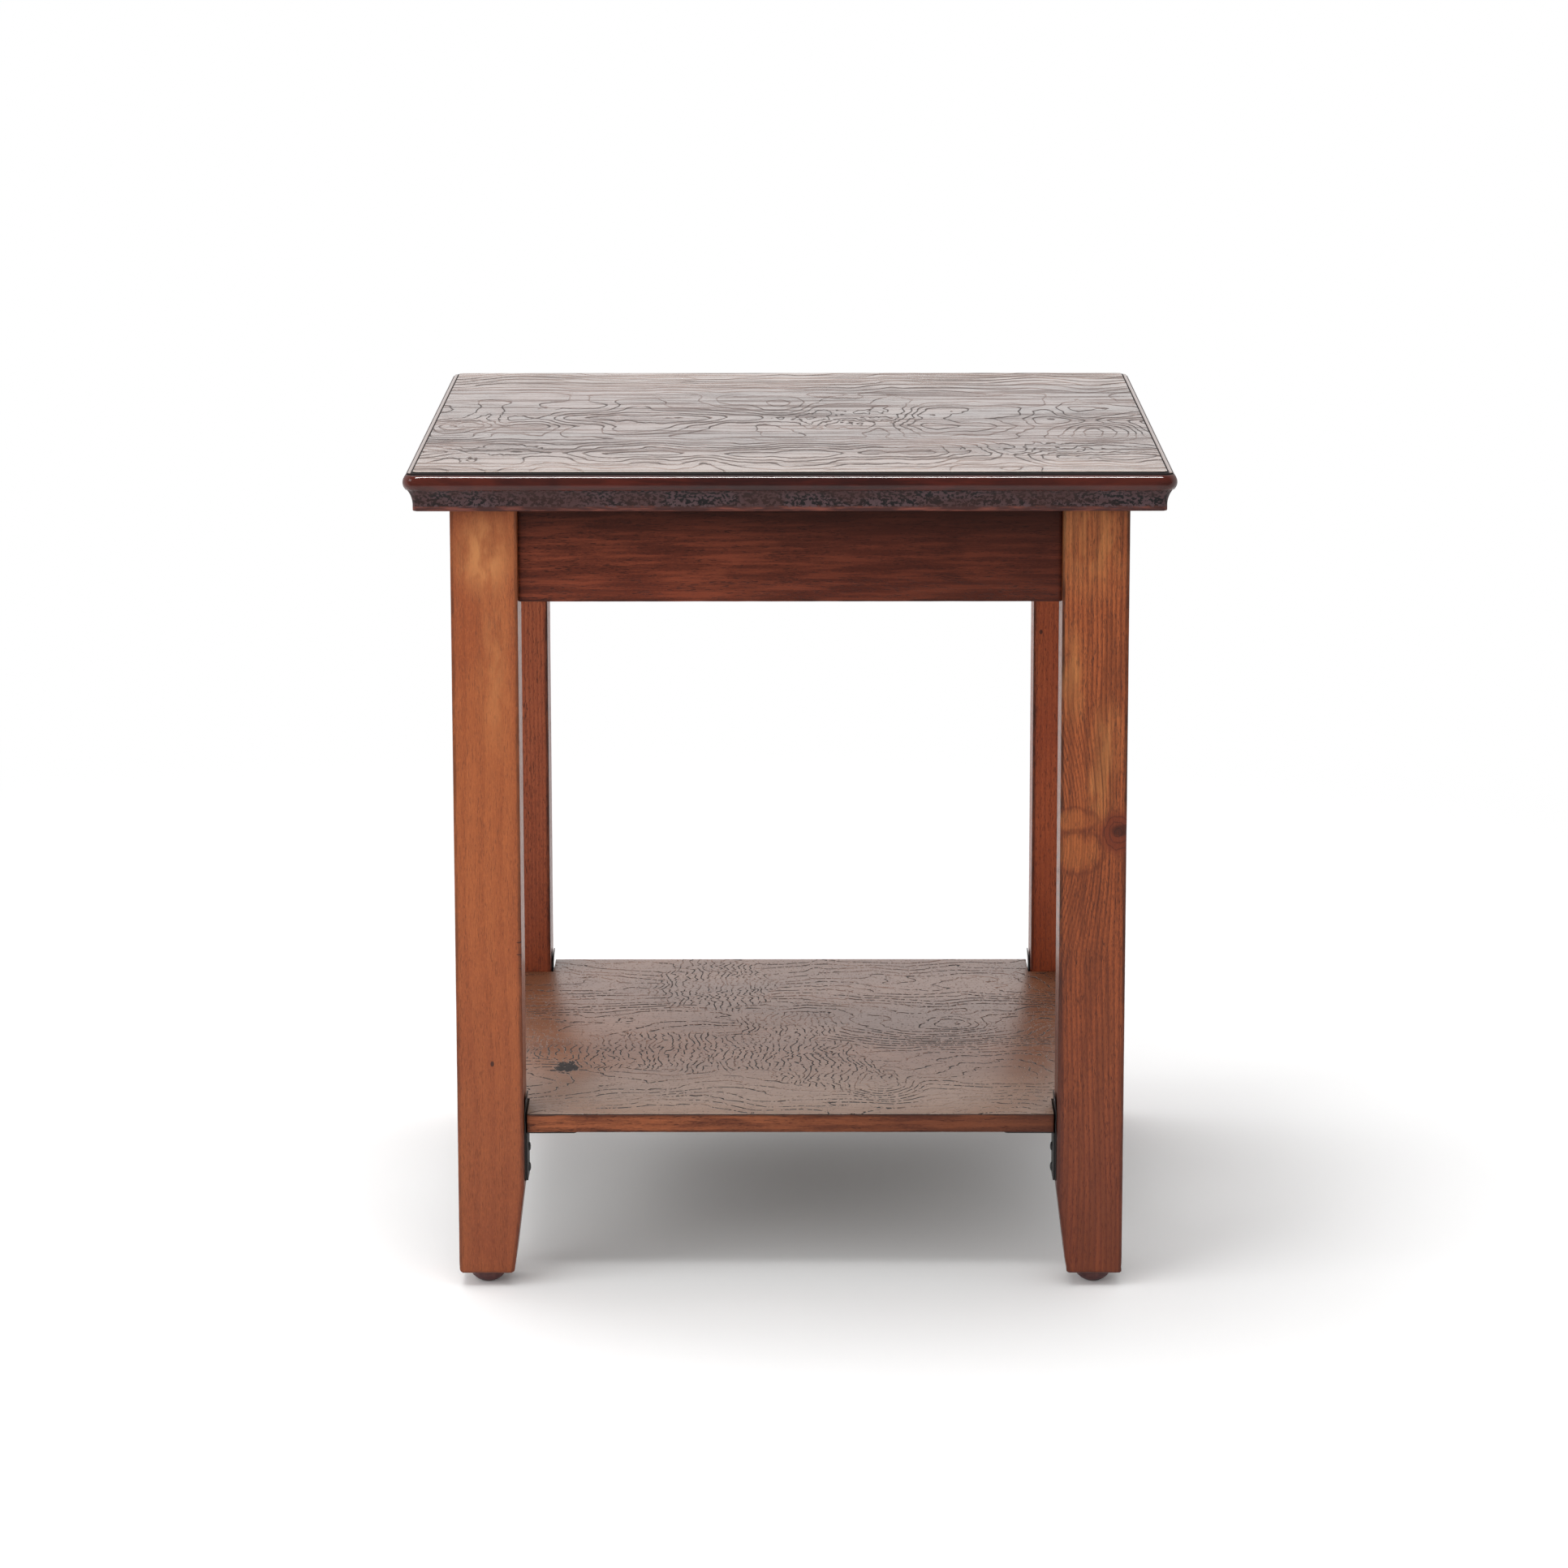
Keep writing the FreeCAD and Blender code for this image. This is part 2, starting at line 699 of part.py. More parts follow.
def make_block_screws():
    """Two screws through each corner block, one into each rail."""
    length = m.block_screw_seat + m.block_screw_bite
    screws = []
    reach = m.apron_back + m.block_screw_reach
    tip = m.apron_back - m.block_screw_bite
    for name, x, y, way in (("block_screw_y", reach, tip, Y), ("block_screw_x", tip, reach, X)):
        screw = pan_screw(name, m.screw_radius, length, m.screw_head_radius, m.screw_head_height)
        place_at_corner(screw, x, y, m.block_screw_height, FreeCAD.Rotation(Z, way))
        screws.append(screw)
    one_group(screws, "block_screws")


def make_top_screws():
    """Two screws up through each corner block into the board."""
    length = m.block_height + m.top_screw_bite
    screws = []
    for number, (x, y) in enumerate(top_screw_places()):
        screw = pan_screw("top_screw_%d" % number, m.screw_radius, length,
                          m.screw_head_radius, m.screw_head_height)
        place_at_corner(screw, x, y, m.board_bottom + m.top_screw_bite, FreeCAD.Rotation(Z, Z * -1))
        screws.append(screw)
    one_group(screws, "top_screws")


def place_on_bolt_line(item, distance):
    """Puts an object on the hanger bolt's line, distance inwards from the leg's outer arris."""
    inwards = FreeCAD.Rotation(Z, FreeCAD.Vector(1, 1, 0))
    place_at_corner(item, distance / ROOT2, distance / ROOT2, m.bolt_height, inwards)


def make_hanger_bolts():
    """Each leg's hanger bolt, with the washer and nut that draw it against the corner block."""
    block_face = m.block_inner / ROOT2
    leg_arris = m.leg_width * ROOT2
    start = leg_arris - m.bolt_depth
    length = block_face - start + m.washer_thick + m.nut_height + m.bolt_tail
    section = [
        (NOTHING, NOTHING),
        (m.bolt_radius, m.bolt_point),
        (m.bolt_radius, length),
        (NOTHING, length),
    ]
    bolt = turned("hanger_bolt", section)
    place_on_bolt_line(bolt, start)
    one_group([bolt], "hanger_bolts")

    bore = m.bolt_radius + m.fit_clearance
    washer = turned("hanger_washer", rectangle(bore, NOTHING, m.washer_radius, m.washer_thick))
    place_on_bolt_line(washer, block_face)
    one_group([washer], "hanger_washers")

    nut = doc.addObject("Part::Prism", "nut_blank")
    nut.Polygon = 6
    bind(nut, "Circumradius", m.nut_flats / math.sqrt(3))
    bind(nut, "Height", m.nut_height)
    thread = doc.addObject("Part::Cylinder", "nut_thread")
    bind(thread, "Radius", bore)
    bind(thread, "Height", m.nut_height)
    cut = doc.addObject("Part::Cut", "hanger_nut")
    cut.Base = nut
    cut.Tool = thread
    place_on_bolt_line(cut, block_face + m.washer_thick)
    one_group([cut], "hanger_nuts")


# Feet


def make_glides():
    """A domed plastic glide under each leg, bored for the nail that holds it."""
    pocket_radius = m.nail_head_radius + m.fit_clearance
    section = [
        (NOTHING, NOTHING),
        (m.glide_flat_radius, NOTHING),
        (m.glide_radius, m.glide_dome_height),
        (m.glide_radius, m.glide_height),
        (pocket_radius, m.glide_height),
        (pocket_radius, m.nail_start),
        (NOTHING, m.nail_start),
    ]
    glide = turned("glide", section, {1: (m.glide_dome_radius, 1)})
    place_at_corner(glide, m.foot_centre, m.foot_centre)
    four_nodes(glide, "foot_glide")


def make_glide_nails():
    """The steel nail in each glide: a collar that fills the glide's bore, and a shank in the leg."""
    collar = m.glide_height - m.nail_start
    section = [
        (NOTHING, NOTHING),
        (m.nail_head_radius, NOTHING),
        (m.nail_head_radius, collar),
        (m.nail_radius, collar),
        (m.nail_radius, m.nail_length - m.screw_point),
        (NOTHING, m.nail_length),
    ]
    nail = turned("glide_nail", section)
    place_at_corner(nail, m.foot_centre, m.foot_centre, m.nail_start)
    one_group([nail], "glide_nails")


# Shelf


def notched_outline(inset):
    """The shelf's outline in from the legs' outer faces by inset, cut away round each leg."""
    notch = m.shelf_notch
    right, left = m.frame_width - inset, inset
    back, front = m.frame_depth - inset, inset
    right_notch, back_notch = m.frame_width - notch, m.frame_depth - notch
    return [
        (notch, front), (right_notch, front), (right_notch, notch),
        (right, notch), (right, back_notch), (right_notch, back_notch),
        (right_notch, back), (notch, back), (notch, back_notch),
        (left, back_notch), (left, notch), (notch, notch),
    ]


def shelf_layer(name, corners, bottom, thick):
    """A flat layer of the shelf, drawn from the frame's front left corner."""
    body = new_body(name)
    sketch = sketch_on(body, name + "_outline", "XY_Plane", bottom)
    draw_outline(sketch, corners)
    pad(body, sketch, thick)
    place_at_corner(body)
    return body


def make_shelf():
    """A core board with a solid strip on each of its four long edges, all under one face veneer."""
    core_thick = m.shelf_thick - m.shelf_veneer_thick
    inner = m.shelf_recess + m.edge_strip_width
    core = shelf_layer("shelf_core", notched_outline(inner), m.shelf_bottom, core_thick)
    keep(core, "shelf_board")
    veneer = shelf_layer("shelf_face", notched_outline(m.shelf_recess),
                         m.shelf_bottom + core_thick, m.shelf_veneer_thick)
    keep(veneer, "shelf_veneer")
    front = shelf_layer(
        "shelf_front_strip",
        rectangle(m.shelf_notch, m.shelf_recess, m.frame_width - m.shelf_notch, inner),
        m.shelf_bottom, core_thick)
    keep(front, "shelf_edge_front")
    keep(mirrored(front, "shelf_rear_strip", Y), "shelf_edge_rear")
    left = shelf_layer(
        "shelf_left_strip",
        rectangle(m.shelf_recess, m.shelf_notch, inner, m.frame_depth - m.shelf_notch),
        m.shelf_bottom, core_thick)
    keep(left, "shelf_edge_left")
    keep(mirrored(left, "shelf_right_strip", X), "shelf_edge_right")


# Steel hardware at the shelf's corners


def make_brackets():
    """A folded steel angle on each leg's inner face: the flange carries the shelf."""
    body = new_body("shelf_bracket")
    inner = m.bracket_face
    outer = inner + m.bracket_thick
    tip = m.leg_width + m.bracket_reach
    under = m.shelf_bottom - m.bracket_thick
    fold = m.bracket_bend + m.bracket_thick
    sketch = sketch_on(body, "bracket_section", "XZ_Plane", m.bracket_start * -1)
    corners = [
        (inner, m.bracket_foot),
        (outer, m.bracket_foot),
        (outer, under - m.bracket_bend),
        (outer + m.bracket_bend, under),
        (tip, under),
        (tip, m.shelf_bottom),
        (inner + fold, m.shelf_bottom),
        (inner, m.shelf_bottom - fold),
    ]
    draw_outline(sketch, corners, {2: (m.bracket_bend, -1), 6: (fold, 1)})
    pad(body, sketch, m.bracket_width, backwards=True)

    def is_plate_corner(edge):
        box = edge.BoundBox
        at_tip = box.XMin > tip.value - 1e-4 and box.ZLength > 0.9 * m.bracket_thick.value
        at_foot = box.ZMax < m.bracket_foot.value + 1e-4 and box.XLength > 0.9 * m.bracket_thick.value
        return at_tip or at_foot

    soften(body, "Fillet", "bracket_corners", m.bracket_corner, is_plate_corner)
    middle = m.bracket_start + m.bracket_width / 2
    for number, height in enumerate(m.bracket_screw_heights):
        drill(body, "plate_hole_%d" % number, m.bracket_screw_radius + m.screw_hole_clearance,
              m.bracket_thick, outer, middle, height, X * -1)
    place_at_corner(body)
    four_nodes(body, "shelf_bracket")


def make_spring_leaves():
    """A spring steel leaf clamped behind each bracket. It stands up in the gap between the leg and
    the shelf's end, and leans in until it just clears the shelf."""
    body = new_body("spring_leaf")
    lean = m.shelf_leg_gap - m.leaf_thick - m.leaf_clearance
    back = m.leg_width
    waist = m.shelf_height - m.shelf_thick / 2
    tip = m.shelf_height + m.leaf_rise
    sketch = sketch_on(body, "leaf_section", "XZ_Plane", m.bracket_start * -1)
    corners = [
        (back, m.bracket_foot),
        (back + m.leaf_thick, m.bracket_foot),
        (back + m.leaf_thick, waist),
        (back + m.leaf_thick + lean, tip),
        (back + lean, tip),
        (back, waist),
    ]
    draw_outline(sketch, corners)
    pad(body, sketch, m.bracket_width, backwards=True)

    def is_leaf_corner(edge):
        box = edge.BoundBox
        level = box.ZLength < 1e-4 and box.YLength < 1e-4
        return level and (box.ZMin > tip.value - 1e-4 or box.ZMax < m.bracket_foot.value + 1e-4)

    soften(body, "Fillet", "leaf_corners", m.bracket_corner, is_leaf_corner)
    middle = m.bracket_start + m.bracket_width / 2
    for number, height in enumerate(m.bracket_screw_heights):
        drill(body, "leaf_hole_%d" % number, m.bracket_screw_radius + m.screw_hole_clearance,
              m.leaf_thick, m.bracket_face, middle, height, X * -1)
    place_at_corner(body)
    four_nodes(body, "spring_leaf")


def make_bracket_screws():
    """Two screws through each bracket and leaf into the leg."""
    middle = m.bracket_start + m.bracket_width / 2
    tip = m.bracket_face + m.bracket_thick - m.bracket_screw_length
    screws = []
    for number, height in enumerate(m.bracket_screw_heights):
        screw = pan_screw("bracket_screw_%d" % number, m.bracket_screw_radius,
                          m.bracket_screw_length, m.bracket_screw_head, m.bracket_screw_dome)
        place_at_corner(screw, tip, middle, height, FreeCAD.Rotation(Z, X))
        screws.append(screw)
    one_group(screws, "bracket_screws")


def check_model():
    """Stops if any object failed to compute or any node is empty or broken."""
    for item in doc.Objects:
        if "Invalid" in item.State or "Error" in item.State:
            raise RuntimeError("%s did not compute: %s" % (item.Name, item.State))
    for node in nodes:
        if node.Shape.isNull() or not node.Shape.isValid() or not node.Shape.Solids:
            raise RuntimeError(node.Label + " has no sound shape")


def write_nodes():
    os.makedirs("parts", exist_ok=True)
    for node in nodes:
        node.Shape.exportStep("parts/%s.step" % node.Label)
        box = node.Shape.BoundBox
        print("%-26s %d solid(s)  x %.1f..%.1f  y %.1f..%.1f  z %.1f..%.1f" % (
            node.Label, len(node.Shape.Solids),
            box.XMin, box.XMax, box.YMin, box.YMax, box.ZMin, box.ZMax))


make_sheet()
make_top_board()
make_top_veneer()
make_legs()
make_aprons()
make_dowels()
make_corner_blocks()
make_block_screws()
make_top_screws()
make_hanger_bolts()
make_glides()
make_glide_nails()
make_shelf()
make_brackets()
make_spring_leaves()
make_bracket_screws()
doc.recompute()
check_model()
write_nodes()
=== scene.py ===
import math
import bpy
import bmesh
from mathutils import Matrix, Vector, noise


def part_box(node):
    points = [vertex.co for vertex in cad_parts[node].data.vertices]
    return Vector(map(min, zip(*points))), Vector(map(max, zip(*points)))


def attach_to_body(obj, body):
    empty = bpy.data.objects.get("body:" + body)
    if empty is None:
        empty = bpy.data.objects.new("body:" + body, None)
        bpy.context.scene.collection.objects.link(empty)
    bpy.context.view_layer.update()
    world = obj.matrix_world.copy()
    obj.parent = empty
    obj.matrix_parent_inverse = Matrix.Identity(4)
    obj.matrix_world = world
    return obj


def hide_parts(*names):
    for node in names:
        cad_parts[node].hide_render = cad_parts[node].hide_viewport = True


# End table with a moulded top, tapered legs and a lift-out lower shelf.
# Metres throughout, +Z up, the front faces -Y, the origin is on the floor under the table's middle.
# Sections, figures and the constants below are in millimetres, and MM brings them to metres.

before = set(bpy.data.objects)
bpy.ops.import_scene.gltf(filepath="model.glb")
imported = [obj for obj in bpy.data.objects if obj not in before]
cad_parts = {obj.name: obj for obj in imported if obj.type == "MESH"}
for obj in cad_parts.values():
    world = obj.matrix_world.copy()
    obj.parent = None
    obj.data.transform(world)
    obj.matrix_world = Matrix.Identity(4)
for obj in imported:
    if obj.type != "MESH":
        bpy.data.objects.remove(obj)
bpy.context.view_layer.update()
scene = bpy.context.scene

MM = 0.001
TOP_HEIGHT = 564.0
SHELF_HEIGHT = 120.0
APRON_DEPTH = 65.6
LEG_FACE = 225.0  # from the table's middle to the outer faces of the legs
TAPER_HEIGHT, TAPER_DEPTH = 59.0, 7.2
INNER_FLAT = 8.0  # on each leg's inner corner, behind the aprons
CHIPPED = 9.0  # how far up the legs are chipped
EDGES = {"front": "x", "rear": "x", "left": "y", "right": "y"}
CORNERS = {"front_left": (-1, -1), "front_right": (1, -1), "rear_left": (-1, 1), "rear_right": (1, 1)}


def tone(red, green, blue):
    """A colour given on the 0 to 255 scale of a colour card, as the linear values that shaders take."""

    def linear(value):
        value /= 255
        return value / 12.92 if value <= 0.04045 else ((value + 0.055) / 1.055) ** 2.4
    return (linear(red), linear(green), linear(blue), 1.0)


def shade(colour, share):
    """A colour card's colour made darker or lighter."""
    return tuple(value * share for value in colour)


def show(name, data):
    """A new object in the scene."""
    made = bpy.data.objects.new(name, data)
    scene.collection.objects.link(made)
    return made


# ---- node trees


class Amount:
    """A number that varies over a surface, as a node gives it out, ready to reckon with."""

    def __init__(self, finish, socket):
        self.finish, self.socket = finish, socket

    def __add__(self, other):
        return self.finish.math("ADD", self, other)

    def __sub__(self, other):
        return self.finish.math("SUBTRACT", self, other)

    def __rsub__(self, other):
        return self.finish.math("SUBTRACT", other, self)

    def __mul__(self, other):
        return self.finish.math("MULTIPLY", self, other)

    def __truediv__(self, other):
        return self.finish.math("DIVIDE", self, other)

    def __abs__(self):
        return self.finish.math("ABSOLUTE", self)

    __radd__, __rmul__ = __add__, __mul__

    def larger(self, other):
        return self.finish.math("MAXIMUM", self, other)

    def root(self):
        return self.finish.math("SQRT", self)

    def fract(self):
        return self.finish.math("FRACT", self)

    def span(self, low, high, to_low=0.0, to_high=1.0):
        """Runs smoothly from to_low to to_high as the number goes from low to high, and stops there."""
        node = self.finish.add("ShaderNodeMapRange", interpolation_type="SMOOTHSTEP")
        names = ("Value", "From Min", "From Max", "To Min", "To Max")
        for name, value in zip(names, (self, low, high, to_low, to_high)):
            self.finish.feed(node.inputs[name], value)
        return Amount(self.finish, node.outputs["Result"])

    def fall(self, low, high):
        return self.span(low, high, 1.0, 0.0)

    def contour(self, half):
        """Thin lines where the number passes a whole one, each half wide to either side."""
        return abs(self.fract() - 0.5).span(0.5 - half, 0.5)


class Place:
    """A place on a surface, as a node gives it out."""

    def __init__(self, finish, socket):
        self.finish, self.socket = finish, socket

    def split(self):
        node = self.finish.add("ShaderNodeSeparateXYZ")
        self.finish.feed(node.inputs[0], self)
        return [Amount(self.finish, socket) for socket in node.outputs]

    @property
    def along(self):
        return self.split()[0]

    @property
    def across(self):
        return self.split()[1]

    def reckon(self, operation, *numbers):
        node = self.finish.add("ShaderNodeVectorMath", operation=operation)
        self.finish.feed(node.inputs[0], self)
        if numbers:
            node.inputs[1].default_value = numbers
        return node.outputs

    def scale(self, x, y, z):
        return Place(self.finish, self.reckon("MULTIPLY", x, y, z)[0])

    def shift(self, x, y, z):
        return Place(self.finish, self.reckon("ADD", x, y, z)[0])

    def length(self):
        return Amount(self.finish, self.reckon("LENGTH")["Value"])

    def noise(self, size, stretch=1.0, detail=2.0, rough=0.5, offset=0.0, warp=0.0):
        """Cloudy variation from 0 to 1, about size across and stretch times as long."""
        moved = self.shift(offset, offset * 0.7, offset * 1.3) if offset else self
        node = self.finish.add("ShaderNodeTexNoise", noise_dimensions="3D")
        self.finish.feed(node.inputs["Vector"], moved.scale(1 / (size * stretch), 1 / size, 1 / size))
        for name, value in zip(("Scale", "Detail", "Roughness", "Distortion"), (1.0, detail, rough, warp)):
            node.inputs[name].default_value = value
        return Amount(self.finish, node.outputs[0])

    def spot(self, centre, size):
        """An oval patch: 1 at its centre, falling smoothly to 0 at its rim."""
        moved = self.shift(*[-value for value in centre]).scale(*[1 / value for value in size])
        return moved.length().fall(0.0, 1.0)


class Finish:
    """One material, or another node tree. Each short method adds a node and gives back its output."""

    def __init__(self, name, tree=None):
        if tree is None:
            self.material = bpy.data.materials.new(name)
            self.material.use_nodes = True
            tree = self.material.node_tree
        self.tree = tree
        tree.nodes.clear()

    def add(self, kind, **settings):
        node = self.tree.nodes.new(kind)
        for key, value in settings.items():
            setattr(node, key, value)
        return node

    def feed(self, socket, value):
        """Gives a node's input a link, or a number where that is what it's handed."""
        if isinstance(value, (Amount, Place)):
            value = value.socket
        if isinstance(value, bpy.types.NodeSocket):
            self.tree.links.new(value, socket)
        elif value is not None:
            socket.default_value = value

    def math(self, operation, *values):
        node = self.add("ShaderNodeMath", operation=operation)
        for socket, value in zip(node.inputs, values):
            self.feed(socket, value)
        return Amount(self, node.outputs[0])

    def join(self, x=0.0, y=0.0, z=0.0):
        node = self.add("ShaderNodeCombineXYZ")
        for socket, value in zip(node.inputs, (x, y, z)):
            self.feed(socket, value)
        return Place(self, node.outputs[0])

    def coordinates(self, kind="Object"):
        return Place(self, self.add("ShaderNodeTexCoord").outputs[kind])

    def place(self, along="x", origin=(0, 0, 0)):
        """Millimetres from origin, with the first number along the grain."""
        local = self.coordinates().shift(*[-value * MM for value in origin]).scale(1000, 1000, 1000)
        x, y, z = local.split()
        return self.join(*{"x": (x, y, z), "y": (y, z, x), "z": (z, x, y)}[along])

    def rise(self):
        """Millimetres above the floor."""
        return self.coordinates().split()[2] * 1000

    def engraved(self, field_at, place, width):
        """Thin soft-edged lines where a field passes a whole number, as wide in millimetres along and across
        the grain as width says, whichever way they run. Gives back the lines and the field."""
        field = field_at(place)
        along = field_at(place.shift(width[0], 0.0, 0.0)) - field
        across = field_at(place.shift(0.0, width[1], 0.0)) - field
        spread = (along * along + across * across + 1e-6).root()
        off = (0.5 - abs(field.fract() - 0.5)) / spread
        return off.fall(0.175, 0.5), field

    def blend(self, amount, first, second):
        node = self.add("ShaderNodeMix", data_type="RGBA")
        self.feed(node.inputs["Factor"], amount)
        self.feed(node.inputs[6], first)
        self.feed(node.inputs[7], second)
        return node.outputs[2]

    def coats(self, colour, *coats):
        """A colour with others laid over it, each given as (how much of it, the colour)."""

        def ready(given):
            return tone(*given) if isinstance(given, tuple) else given

        colour = ready(colour)
        for amount, over in coats:
            colour = self.blend(amount, colour, ready(over))
        return colour

    def surface(self, colour, roughness, relief, depth, level=0.5, metallic=0.0):
        """The finished material. Relief 1 stands depth millimetres above relief 0."""
        bump = self.add("ShaderNodeBump")
        bump.inputs["Strength"].default_value = 1.0
        bump.inputs["Distance"].default_value = depth * MM
        self.feed(bump.inputs["Height"], relief)
        shader = self.add("ShaderNodeBsdfPrincipled")
        shader.inputs["Metallic"].default_value = metallic
        shader.inputs["Specular IOR Level"].default_value = level
        self.feed(shader.inputs["Base Color"], colour)
        self.feed(shader.inputs["Roughness"], roughness)
        self.feed(shader.inputs["Normal"], bump.outputs[0])
        self.feed(self.add("ShaderNodeOutputMaterial").inputs[0], shader.outputs[0])
        return self.material


# ---- camera, lamps and room


def make_camera():
    data = bpy.data.cameras.new("camera")
    data.lens = 119.43
    data.sensor_width = 36.0
    data.shift_y = -0.06
    data.clip_end = 100.0
    camera = show("camera", data)
    camera.location = (0.0033, -3.6204, 1.0722)
    camera.rotation_euler = [math.radians(turn) for turn in (90 - 10.973, 0.055, 0.113)]
    scene.camera = camera


def lamp(name, place, aim, width, height, radiance, gloss=True, light_too=True):
    """A softbox of that size in metres. radiance is how bright its face is, where 1 is a white wall.
    Without gloss it doesn't show in the varnish, and without light_too that is all it does."""
    data = bpy.data.lights.new(name, "AREA")
    data.shape = "RECTANGLE"
    data.size = width
    data.size_y = height
    data.energy = radiance * math.pi * width * height
    light = show(name, data)
    light.visible_camera = False
    light.visible_glossy = gloss
    light.visible_diffuse = light_too
    light.location = place
    light.rotation_euler = (Vector(aim) - Vector(place)).to_track_quat("-Z", "Y").to_euler()


def make_lamps():
    lamp("key_softbox", (-1.6, -2.0, 1.0), (0, 0, 0.3), 1.3, 1.1, 3.1, gloss=False)
    lamp("front_panel", (0.2, -3.4, 0.9), (0, 0, 0.35), 2.6, 1.6, 1.0, gloss=False)
    lamp("left_softbox", (-2.3, -1.2, 1.6), (0, 0, 0.2), 1.0, 1.0, 4.0)
    lamp("overhead_strip", (-0.15, -1.25, 2.3), (0, -0.15, 0.5), 1.8, 0.3, 6.0)
    lamp("highlight_strip", (-0.1, -1.3, 2.3), (0, -0.25, 0.55), 1.8, 0.1, 100.0, light_too=False)
    lamp("ceiling_softbox", (-0.4, 0.5, 2.8), (0, 0, 0.5), 1.6, 1.6, 3.9)


def make_world():
    """A white room that is dimmer on the camera's side, so that polished fronts keep their depth."""
    world = bpy.data.worlds.new("room")
    scene.world = world
    world.use_nodes = True
    sky = Finish("room", world.node_tree)
    wall = sky.coordinates("Generated").across.span(-0.45, 0.25, 0.2, 1.0)
    rays = sky.add("ShaderNodeLightPath").outputs
    mirrored = sky.math("MAXIMUM", rays["Is Glossy Ray"], rays["Is Transmission Ray"])
    strength = sky.blend(mirrored, (0.66, 0.66, 0.66, 1), wall)
    strength = sky.blend(rays["Is Camera Ray"], strength, (1, 1, 1, 1))
    background = sky.add("ShaderNodeBackground")
    background.inputs["Color"].default_value = (1, 1, 1, 1)
    sky.feed(background.inputs["Strength"], strength)
    sky.feed(sky.add("ShaderNodeOutputWorld").inputs[0], background.outputs[0])


def make_floor():
    """White paper that takes soft shade near the table and shines as white as the room far from it."""
    mesh = bpy.data.meshes.new("floor")
    half = 60.0
    mesh.from_pydata([(-half, -half, 0), (half, -half, 0), (half, half, 0), (-half, half, 0)], [], [(0, 1, 2, 3)])
    floor = show("floor", mesh)
    paper = Finish("white_paper_floor")
    rays = paper.add("ShaderNodeLightPath").outputs
    seen = paper.math("MAXIMUM", rays["Is Camera Ray"], rays["Is Glossy Ray"])
    diffuse = paper.add("ShaderNodeBsdfDiffuse")
    paper.feed(diffuse.inputs["Color"], paper.blend(seen, (0.7, 0.7, 0.7, 1), (1, 1, 1, 1)))
    white = paper.add("ShaderNodeEmission")
    place = paper.coordinates()
    dim = place.across.span(-1.3, -0.3, 0.2, 1.0)
    paper.feed(white.inputs["Strength"], dim.larger(rays["Is Camera Ray"]))
    mix = paper.add("ShaderNodeMixShader")
    paper.feed(mix.inputs[0], place.length().span(0.75, 1.7) * seen)
    paper.feed(mix.inputs[1], diffuse.outputs[0])
    paper.feed(mix.inputs[2], white.outputs[0])
    paper.feed(paper.add("ShaderNodeOutputMaterial").inputs[0], mix.outputs[0])
    mesh.materials.append(paper.material)


# ---- mesh making


def smooth(mesh, degrees):
    """Shades a mesh smooth, but for edges that turn by more than that."""
    mesh.polygons.foreach_set("use_smooth", [True] * len(mesh.polygons))
    mesh.set_sharp_from_angle(angle=math.radians(degrees))


def piece_from(name, vertices, faces, degrees):
    """A closed mesh with its faces outwards and only its sharp edges left sharp."""
    mesh = bpy.data.meshes.new(name)
    mesh.from_pydata([tuple(v) for v in vertices], [], faces)
    work = bmesh.new()
    work.from_mesh(mesh)
    bmesh.ops.remove_doubles(work, verts=work.verts, dist=1e-7)
    bmesh.ops.recalc_face_normals(work, faces=work.faces)
    work.to_mesh(mesh)
    work.free()
    smooth(mesh, degrees)
    return show(name, mesh)


def freeze(draft, name, degrees):
    """A finished piece with a plain mesh, in place of a draft that has modifiers."""
    mesh = bpy.data.meshes.new_from_object(draft.evaluated_get(bpy.context.evaluated_depsgraph_get()))
    bpy.data.objects.remove(draft)
    smooth(mesh, degrees)
    return show(name, mesh)


def loft(rings):
    """Vertices and faces of a skin over rings of equal length, with a flat face at each end."""
    count = len(rings[0])
    vertices = [point for ring in rings for point in ring]
    faces = []
    for level in range(len(rings) - 1):
        low, high = level * count, (level + 1) * count
        for index in range(count):
            after = (index + 1) % count
            faces.append((low + index, low + after, high + after, high + index))
    faces.append(tuple(range(count))[::-1])
    faces.append(tuple(range(len(vertices) - count, len(vertices))))
    return vertices, faces


def arc(first, last, bulge, steps):
    """Points of a shallow arc between two places in a section. A positive bulge is to the left of the way."""
    first, last = Vector(first), Vector(last)
    chord = last - first
    half = chord.length / 2
    radius = (half * half + bulge * bulge) / (2 * abs(bulge))
    side = Vector((-chord.y, chord.x)).normalized() * (1 if bulge > 0 else -1)
    centre = (first + last) / 2 - side * (radius - abs(bulge))
    reach = math.asin(min(half / radius, 1.0))
    along = chord.normalized()
    points = []
    for step in range(steps + 1):
        angle = -reach + 2 * reach * step / steps
        points.append(tuple(centre + side * radius * math.cos(angle) + along * radius * math.sin(angle)))
    return points


def stations(first, last, stride):
    """Places from first, stride apart, that stay short of last."""
    places = []
    while first < last:
        places.append(first)
        first += stride
    return places


def wobble(point, size, amount, seed=0.0):
    """A hand tool's unevenness: a smooth random number up to amount either way, for a place in metres."""
    return noise.noise(Vector(point) / (size * MM) + Vector((seed, seed * 0.37, seed * 1.7))) * amount * MM


def dress(piece, finish):
    piece.data.materials.clear()
    piece.data.materials.append(finish)


def attach(piece, body, node, finish=None):
    """Gives a piece its finish, unless it has one, sets it on its body and lets it stand for its solid."""
    if finish is not None:
        dress(piece, finish)
    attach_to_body(piece, body)
    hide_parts(node)


# ---- the top


